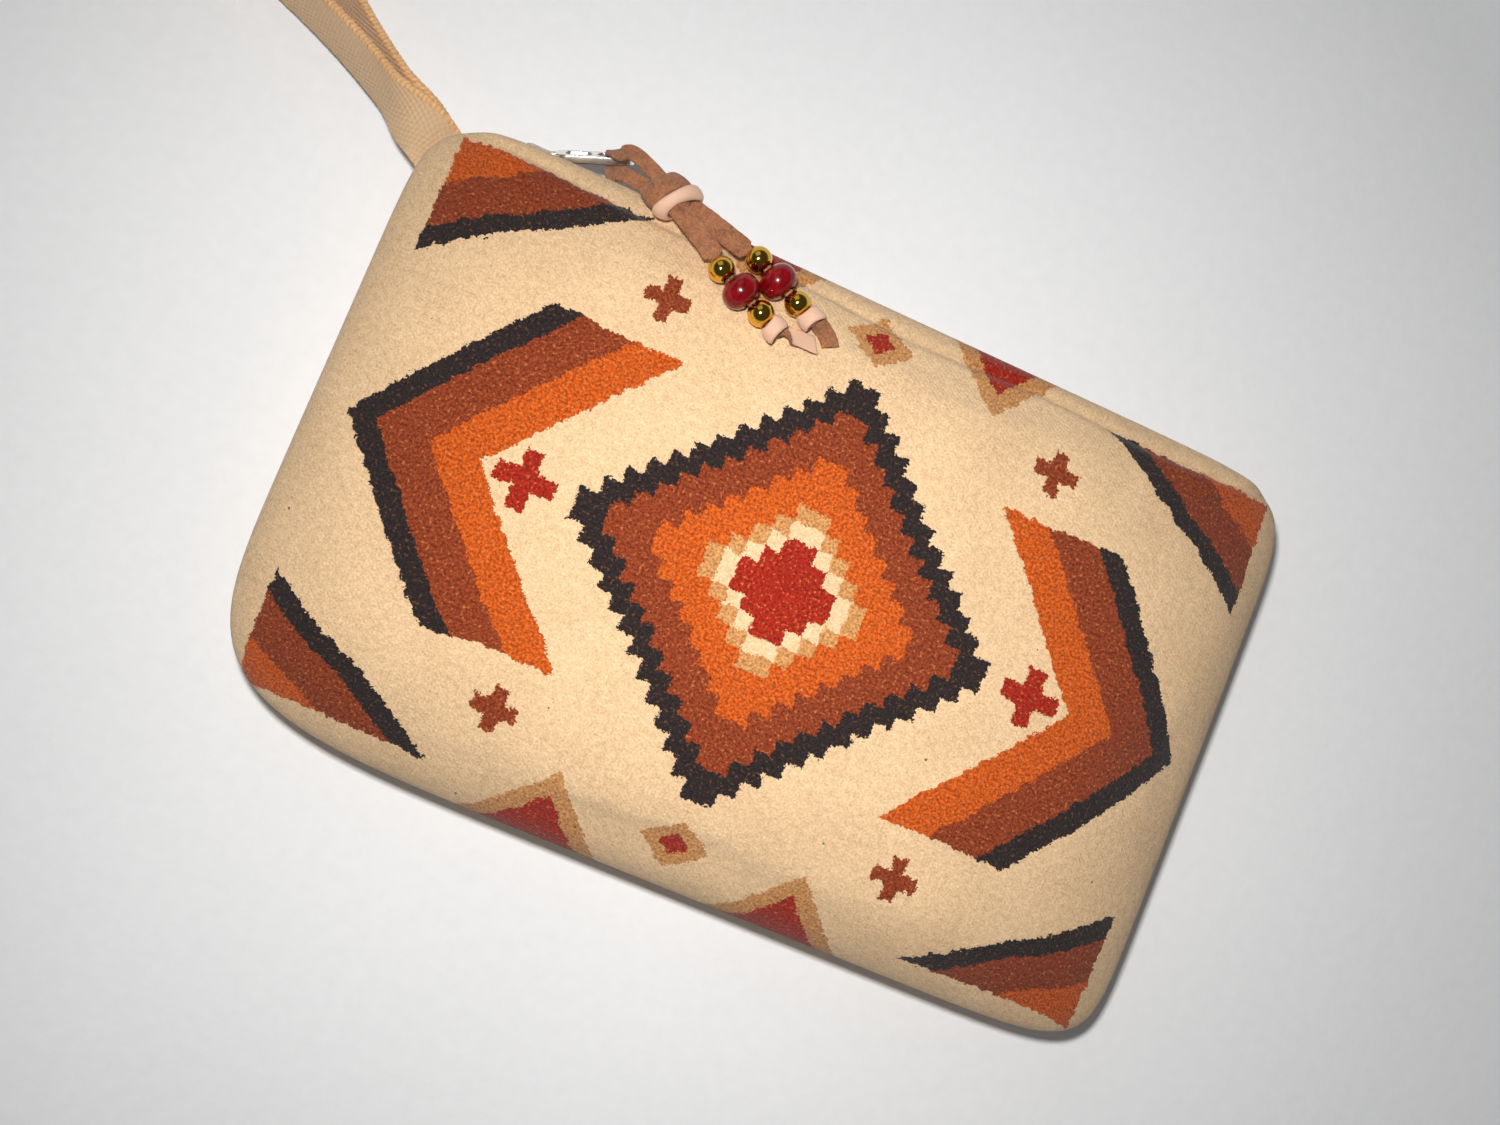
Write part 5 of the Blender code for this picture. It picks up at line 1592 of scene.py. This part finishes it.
# %% A node tree that sets out copies
def build_set_out():
    tree = bpy.data.node_groups.new("set_out", "GeometryNodeTree")
    for label, way, kind in (("Geometry", "INPUT", "Geometry"), ("Element", "INPUT", "Object"),
                             ("Finish", "INPUT", "Material"), ("Geometry", "OUTPUT", "Geometry")):
        tree.interface.new_socket(name=label, in_out=way, socket_type=f"NodeSocket{kind}")
    nodes = tree.nodes
    links = tree.links
    source = nodes.new("NodeGroupInput")
    result = nodes.new("NodeGroupOutput")
    element = nodes.new("GeometryNodeObjectInfo")
    links.new(source.outputs["Element"], element.inputs["Object"])
    turns = []
    for axis, label in (("X", "ahead"), ("Z", "up")):
        named = nodes.new("GeometryNodeInputNamedAttribute")
        named.data_type = "FLOAT_VECTOR"
        named.inputs["Name"].default_value = label
        align = nodes.new("FunctionNodeAlignRotationToVector")
        align.axis = axis
        align.pivot_axis = "AUTO" if axis == "X" else "X"
        links.new(named.outputs[0], align.inputs["Vector"])
        if turns:
            links.new(turns[-1].outputs[0], align.inputs["Rotation"])
        turns.append(align)
    copies = nodes.new("GeometryNodeInstanceOnPoints")
    links.new(source.outputs["Geometry"], copies.inputs["Points"])
    links.new(element.outputs["Geometry"], copies.inputs["Instance"])
    links.new(turns[-1].outputs[0], copies.inputs["Rotation"])
    real = nodes.new("GeometryNodeRealizeInstances")
    links.new(copies.outputs[0], real.inputs[0])
    finish = nodes.new("GeometryNodeSetMaterial")
    links.new(real.outputs[0], finish.inputs["Geometry"])
    links.new(source.outputs["Finish"], finish.inputs["Material"])
    links.new(finish.outputs[0], result.inputs[0])
    return tree


SET_OUT = build_set_out()
print("tree", SET_OUT.name, "nodes:", len(SET_OUT.nodes))

# %% [markdown]
# Four helpers use it. One turns what a modifier or a curve gives into a plain mesh, one feeds the
# tree's inputs, one sets out a whole row, and the last makes the round thread of the element.

# %% Setting out a row
def plain_mesh(holder):
    """The mesh that an object's modifiers or its curve give. The object itself is removed."""
    graph = bpy.context.evaluated_depsgraph_get()
    mesh = bpy.data.meshes.new_from_object(holder.evaluated_get(graph))
    bpy.data.objects.remove(holder)
    return mesh


def set_input(modifier, name, value):
    """Give a Geometry Nodes modifier one of its named inputs, by the socket's identifier."""
    for item in modifier.node_group.interface.items_tree:
        if item.in_out == "INPUT" and item.name == name:
            modifier[item.identifier] = value


def set_out(name, element_mesh, places, material):
    """A plain mesh of copies. Each place is a point, its direction ahead and its direction up."""
    element = add_object(name + "_element", element_mesh)
    points = bpy.data.meshes.new(name + "_points")
    points.from_pydata([tuple(entry[0]) for entry in places], [], [])
    for label, part in (("ahead", 1), ("up", 2)):
        attribute = points.attributes.new(label, "FLOAT_VECTOR", "POINT")
        attribute.data.foreach_set("vector", [value for entry in places for value in entry[part]])
    holder = add_object(name + "_holder", points)
    modifier = holder.modifiers.new("set out", "NODES")
    modifier.node_group = SET_OUT
    set_input(modifier, "Element", element)
    set_input(modifier, "Finish", material)
    mesh = plain_mesh(holder)
    mesh.name = name
    bpy.data.objects.remove(element)
    for label in ("ahead", "up"):
        if label in mesh.attributes:
            mesh.attributes.remove(mesh.attributes[label])
    mesh.shade_smooth()
    print(name, "copies:", len(places), "faces:", len(mesh.polygons))
    return add_object(name, mesh)


def tube_mesh(name, path, radii, sides):
    """A round rod along a path, with its own radius at each point."""
    along = directions(path)
    helper = UP if abs(along[0].z) < 0.9 else Vector((1, 0, 0))
    acrosses = carried(path, 0, helper.cross(along[0]).normalized())
    rings = []
    for i, center in enumerate(path):
        outward = along[i].cross(acrosses[i])
        rings.append([
            center + acrosses[i] * (math.cos(2 * math.pi * k / sides) * radii[i])
            + outward * (math.sin(2 * math.pi * k / sides) * radii[i])
            for k in range(sides)
        ])
    return skin_rings(name, rings)


print("row helpers ready")

# %% [markdown]
# The zip is a nylon coil: each row is one stiff thread wound in turns, with a swollen head on
# each turn that hooks between the heads of the other row. One turn of the thread is the element,
# and the tree repeats it at the coil's pitch along both rows.

# %% Zip coils
COIL_BACK = 0.0669
COIL_FACE = 0.0683
COIL_START = -0.0883
COIL_END = 0.0900
COIL_PITCH = 0.0025
COIL_THREAD = 0.00034
THREAD_SIDES = 6


def coil_turn():
    """One turn of the thread, with its swollen head at the front."""
    low = COIL_THREAD
    high = COIL_FACE - COIL_BACK - COIL_THREAD
    middle = (low + high) / 2
    places = [
        (-0.00010, low, 0.0025), (0.0, low, 0.0014), (0.0, low, 0.0003), (0.0, low, -0.0003),
        (0.0, middle, -0.0007), (0.0, high, -0.0003), (0.0, high, 0.0003),
        (0.00015, high, 0.0014), (0.00055, high, 0.0022), (0.00125, middle, 0.0027),
        (0.00205, low, 0.0026), (COIL_PITCH - 0.00010, low, 0.0025),
    ]
    swell = [1.0, 1.0, 1.25, 1.5, 1.5, 1.5, 1.25, 1.0, 1.0, 1.0, 1.0, 1.0]
    return tube_mesh("coil_turn", [Vector(place) for place in places],
                     [COIL_THREAD * part for part in swell], THREAD_SIDES)


def nylon_material():
    material, tree, shader = new_material("black_nylon")
    place = object_place(tree)
    rub = noise(tree, place, 800.0, 3.0)
    color = blend_colors(tree, rub, from_picture(28, 27, 28), from_picture(58, 54, 55))
    tree.links.new(color, shader.inputs["Base Color"])
    plug(tree, rub * 0.3 + 0.22, shader.inputs["Roughness"])
    add_bump(tree, shader, rub, 0.00005, 0.4)
    return material


BLACK_NYLON = nylon_material()
for name, side, shift in (("front", 1, 0.0), ("back", -1, COIL_PITCH / 2)):
    start = COIL_START + shift
    count = int((COIL_END - start) / COIL_PITCH)
    places = [(Vector((start + (i + 0.5) * COIL_PITCH, COIL_BACK, ZIP_HEIGHT)),
               Vector((side, 0, 0)), Vector((0, 0, side))) for i in range(count)]
    coil = set_out(f"coil_{name}", coil_turn(), places, BLACK_NYLON)
    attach(coil, "pouch")
    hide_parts(f"zip_coil_{name}")

# %% [markdown]
# The pull tab is a long polished plate with a slot for the lace at one end and a wire eye at
# the other, which hangs on the slider's bridge. A flat curve with a hole gives the plate, and
# the curve's own bevel rounds its rims, which is what catches the bright lines. Between the slot
# and the eye the plate is recessed.

# %% Sizes of the pull tab
TAB_LENGTH = 0.0235
TAB_HALF_WIDTH = 0.0032
TAB_THICKNESS = 0.0019
TAB_SWING = math.radians(21)
TAB_LIFT = math.radians(5)
TAB_TWIST = math.radians(24)
TAB_RIM = 0.0012
PLATE_START = 0.00535
SLOT_LENGTH = 0.0074
SLOT_HALF_WIDTH = 0.0018
TAB_ROUND = 0.0026
SLOT_ROUND = 0.0016
RECESS_ROUND = 0.0012
FLOOR_ROUND = 0.0014
RECESS_DEPTHS = 0.0010
RIM_ROUNDING = 0.00025
FLOOR_ROUNDING = 0.0001
EYE_RADIUS = 0.00065
EYE_HALF_WIDTH = 0.0029
EYE_IN_PLATE = 0.0008
EYE_SHOULDERS = (0.0022, 0.0008)
EYE_STEPS = 5
EYE_SIDES = 14
print("tab:", TAB_LENGTH, "by", 2 * TAB_HALF_WIDTH, "by", TAB_THICKNESS, "m")

# %% [markdown]
# Four helpers make it: the tab's place on the slider, the outline of a bar with round corners, a
# plate with holes from such outlines, and a mesh that holds several closed shells.

# %% Helpers for the pull tab
def tab_frame():
    """From the flat tab's own axes to its place on the slider's bridge."""
    turn = Matrix.Rotation(TAB_SWING, 4, "Z") @ Matrix.Rotation(-TAB_LIFT, 4, "Y")
    return Matrix.Translation(HINGE) @ turn @ Matrix.Rotation(math.pi / 2 + TAB_TWIST, 4, "X")


def rounded_bar(low_x, high_x, half_width, radius, steps=10):
    """The outline of a bar with rounded corners."""
    points = []
    corners = ((high_x - radius, half_width - radius, 0), (low_x + radius, half_width - radius, 1),
               (low_x + radius, radius - half_width, 2), (high_x - radius, radius - half_width, 3))
    for x, y, quarter in corners:
        for k in range(steps + 1):
            turn = math.pi / 2 * (quarter + k / steps)
            points.append((x + radius * math.cos(turn), y + radius * math.sin(turn)))
    return points


def plate_mesh(name, outlines, thickness, rounding):
    """A flat plate with holes and rounded rims, from a filled and bevelled curve."""
    curve = bpy.data.curves.new(name, "CURVE")
    curve.dimensions = "2D"
    curve.fill_mode = "BOTH"
    curve.extrude = thickness / 2 - rounding
    curve.bevel_depth = rounding
    curve.bevel_resolution = 3
    curve.offset = -rounding
    for points in outlines:
        spline = curve.splines.new("POLY")
        spline.points.add(len(points) - 1)
        for point, place in zip(spline.points, points):
            point.co = (place[0], place[1], 0.0, 1.0)
        spline.use_cyclic_u = True
    mesh = plain_mesh(add_object(name, curve))
    face_outwards(mesh, merge=0.00001)
    return mesh


def join_meshes(name, meshes):
    """One mesh of several closed shells."""
    bm = bmesh.new()
    for mesh in meshes:
        bm.from_mesh(mesh)
    joined = bpy.data.meshes.new(name)
    bm.to_mesh(joined)
    bm.free()
    return joined


print("tab helpers ready")

# %% [markdown]
# The rim part has the slot and the recess cut through it, the floor part closes the recess at
# half depth, and the eye is a bent wire whose two ends run into the plate.

# %% Shapes of the pull tab
slot_end = TAB_LENGTH - TAB_RIM
recess_end = slot_end - SLOT_LENGTH - TAB_RIM
body = rounded_bar(PLATE_START, TAB_LENGTH, TAB_HALF_WIDTH, TAB_ROUND)
slot = rounded_bar(slot_end - SLOT_LENGTH, slot_end, SLOT_HALF_WIDTH, SLOT_ROUND)
recess = rounded_bar(PLATE_START + 2 * TAB_RIM, recess_end, TAB_HALF_WIDTH - TAB_RIM,
                     RECESS_ROUND)
inner = rounded_bar(PLATE_START + TAB_RIM, slot_end - SLOT_LENGTH - TAB_RIM / 2,
                    TAB_HALF_WIDTH - TAB_RIM / 2, FLOOR_ROUND)
rim_part = plate_mesh("tab_rim", [body, slot[::-1], recess[::-1]], TAB_THICKNESS, RIM_ROUNDING)
floor_part = plate_mesh("tab_floor", [inner], TAB_THICKNESS - RECESS_DEPTHS, FLOOR_ROUNDING)
eye_reach = EYE_HALF_WIDTH - EYE_RADIUS
eye_half = [(PLATE_START + EYE_IN_PLATE, eye_reach, 0), (EYE_SHOULDERS[0], eye_reach, 0),
            (EYE_SHOULDERS[1], eye_reach, 0), (0.0, EYE_HALF_WIDTH - 2 * EYE_RADIUS, 0)]
other_half = [(x, -y, z) for x, y, z in reversed(eye_half)]
eye_path = smooth_path([*eye_half, (0.0, 0.0, 0), *other_half], EYE_STEPS)
eye_part = tube_mesh("tab_eye", eye_path, [EYE_RADIUS] * len(eye_path), EYE_SIDES)
tab_mesh = join_meshes("nickel_pull_tab", [rim_part, floor_part, eye_part])
tab_mesh.transform(tab_frame())
print("tab faces:", len(tab_mesh.polygons))

# %% [markdown]
# The nickel is bright and only slightly hazy, with fine scratches along the tab.

# %% Pull tab
def nickel_material():
    material, tree, shader = new_material("polished_nickel")
    place = object_place(tree)
    haze = noise(tree, place, 420.0, 3.0)
    scratch_place = tree.nodes.new("ShaderNodeMapping")
    tree.links.new(place, scratch_place.inputs["Vector"])
    scratch_place.inputs["Scale"].default_value = (0.12, 1.0, 1.0)
    scratch = noise(tree, scratch_place.outputs["Vector"], 6000.0, 2.0)
    color = blend_colors(tree, haze, from_picture(226, 223, 216), from_picture(240, 238, 233))
    tree.links.new(color, shader.inputs["Base Color"])
    shader.inputs["Metallic"].default_value = 1.0
    plug(tree, haze * 0.10 + scratch * 0.06 + 0.16, shader.inputs["Roughness"])
    add_bump(tree, shader, scratch, 0.000003, 0.2)
    return material


NICKEL = nickel_material()
tab = new_piece("nickel_pull_tab", tab_mesh, NICKEL)
tab_mesh.set_sharp_from_angle(angle=math.radians(40))
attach(tab, "pull")
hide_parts("pull_tab")
print(tab.name, "material:", NICKEL.name)

# %% [markdown]
# The slider, the stops, the tapes and the lining keep their CAD shapes, which are right as they
# are, and take finished materials: worn nickel, woven zip tape and a plain cotton lining.

# %% Tape, lining and metal of the CAD nodes
def woven_material(name, dark, pale, pitch, roughness, bump):
    """Plain woven cloth: two sets of threads that cross, seen as a fine checked relief."""
    material, tree, shader = new_material(name)
    place = object_place(tree)
    parts = split_place(tree, place)
    turns = 2 * math.pi / pitch
    warp = (parts[0] * turns).wave()
    weft = ((parts[2] + parts[1]) * turns).wave()
    checks = warp * weft
    fibre = noise(tree, place, 2600.0, 3.0, 0.7)
    cloud = noise(tree, place, 120.0, 2.0)
    share = spread(tree, checks * 0.5 + fibre + cloud * 0.4, 0.2, 1.3)
    tree.links.new(blend_colors(tree, share, dark, pale), shader.inputs["Base Color"])
    shader.inputs["Roughness"].default_value = roughness
    shader.inputs["Specular IOR Level"].default_value = 0.2
    add_bump(tree, shader, checks * 0.4 + fibre * 0.5, bump, 0.7)
    return material


TAPE = woven_material("zip_tape", from_picture(16, 15, 16), from_picture(48, 44, 44), 0.0007,
                      0.85, 0.0002)
LINING = woven_material("cotton_lining", from_picture(118, 66, 40), from_picture(170, 108, 70),
                        0.0006, 0.9, 0.0002)
for node, look in (("zip_slider", NICKEL), ("zip_stop_front", NICKEL), ("zip_stop_back", NICKEL),
                   ("zip_bottom_stop", NICKEL), ("zip_tape_front", TAPE),
                   ("zip_tape_back", TAPE), ("lining", LINING)):
    NODES[node].data.materials.clear()
    NODES[node].data.materials.append(look)
print("CAD nodes finished")

# %% [markdown]
# The pouch lies on a pale painted board: a plain plane with a faint grain. Far from the pouch it
# glows a little where the camera sees it, also in metal or through glass, so that it runs into
# the pale wall behind it. Matt surfaces get no light from that glow.

# %% Floor
FLOOR_HALF = 1.6
FAR_REACH = (0.235, 0.55)
FAR_FLOOR = 0.60
DAYLIGHT = (0.96, 0.98, 1.0, 1.0)


def seen_ray(tree):
    """1 for what the camera sees itself, in a mirror-like surface or through glass."""
    path = tree.nodes.new("ShaderNodeLightPath")
    camera_ray, glossy_ray, through_ray = [
        Term(tree, path.outputs[f"Is {kind} Ray"])
        for kind in ("Camera", "Glossy", "Transmission")]
    return camera_ray.larger(glossy_ray).larger(through_ray)


def floor_material():
    material, tree, shader = new_material("pale_board")
    place = object_place(tree)
    parts = split_place(tree, place)
    away = (parts[0] * parts[0] + parts[1] * parts[1]).step("SQRT")
    far = spread(tree, away, *FAR_REACH, 0.0, FAR_FLOOR)
    shader.inputs["Emission Color"].default_value = DAYLIGHT
    plug(tree, far * seen_ray(tree), shader.inputs["Emission Strength"])
    grain = noise(tree, place, 260.0, 4.0, 0.6)
    cloud = noise(tree, place, 6.0, 2.0)
    share = spread(tree, grain * 0.4 + cloud * 0.6, 0.35, 0.65)
    color = blend_colors(tree, share, from_picture(238, 239, 241), from_picture(245, 246, 248))
    tree.links.new(color, shader.inputs["Base Color"])
    shader.inputs["Roughness"].default_value = 0.7
    shader.inputs["Specular IOR Level"].default_value = 0.2
    add_bump(tree, shader, grain, 0.0004, 0.35)
    return material


floor_mesh = bpy.data.meshes.new("floor")
floor_mesh.from_pydata([(-FLOOR_HALF, -FLOOR_HALF, 0), (FLOOR_HALF, -FLOOR_HALF, 0),
                        (FLOOR_HALF, FLOOR_HALF, 0), (-FLOOR_HALF, FLOOR_HALF, 0)],
                       [], [(0, 1, 2, 3)])
floor_mesh.materials.append(floor_material())
floor = add_object("floor", floor_mesh)
print("floor:", 2 * FLOOR_HALF, "m wide")

# %% [markdown]
# The light is the photograph's: one small key lamp close to the camera and a little above it in
# the picture, which throws the shadow towards the bottom and the right, and a wide weak fill from
# further up. The world is brighter near the horizon than overhead. What is seen of it, by the
# camera, in metal or through glass, is a pale wall instead.

# %% Lamps and world
TARGET = Vector((0.01, 0.0, 0.02))
KEY_SPREAD = math.radians(88)
STUDIO_HEIGHTS = (0.15, 0.95)
STUDIO_LOW = 0.27
OVERHEAD = 0.06
WALL_HEIGHTS = (0.06, 0.32)
PALE_WALL = 0.78


def add_lamp(name, place, size, power, color=(1.0, 1.0, 1.0)):
    """A square lamp that points at the pouch."""
    data = bpy.data.lights.new(name, "AREA")
    data.size = size
    data.energy = power
    data.color = color
    lamp = add_object(name, data)
    lamp.location = place
    lamp.rotation_euler = (TARGET - place).to_track_quat("-Z", "Y").to_euler()
    return lamp


key = add_lamp("key", Vector((-0.128, 0.006, 0.495)), size=0.032, power=0.59,
               color=(1.0, 0.985, 0.96))
key.data.spread = KEY_SPREAD
add_lamp("fill", Vector((-0.70, 0.80, 0.95)), size=0.90, power=1.1)

world = bpy.data.worlds.new("studio")
bpy.context.scene.world = world
world.use_nodes = True
background = world.node_tree.nodes["Background"]
ray = world.node_tree.nodes.new("ShaderNodeTexCoord").outputs["Generated"]
height = split_place(world.node_tree, ray)[2]
background.inputs["Color"].default_value = DAYLIGHT
studio = spread(world.node_tree, height, *STUDIO_HEIGHTS, STUDIO_LOW, OVERHEAD)
wall = spread(world.node_tree, height, *WALL_HEIGHTS, PALE_WALL, OVERHEAD)
seen = seen_ray(world.node_tree)
plug(world.node_tree, spread(world.node_tree, seen, 0.0, 1.0, studio, wall),
     background.inputs["Strength"])
bpy.context.scene.view_settings.view_transform = "Standard"
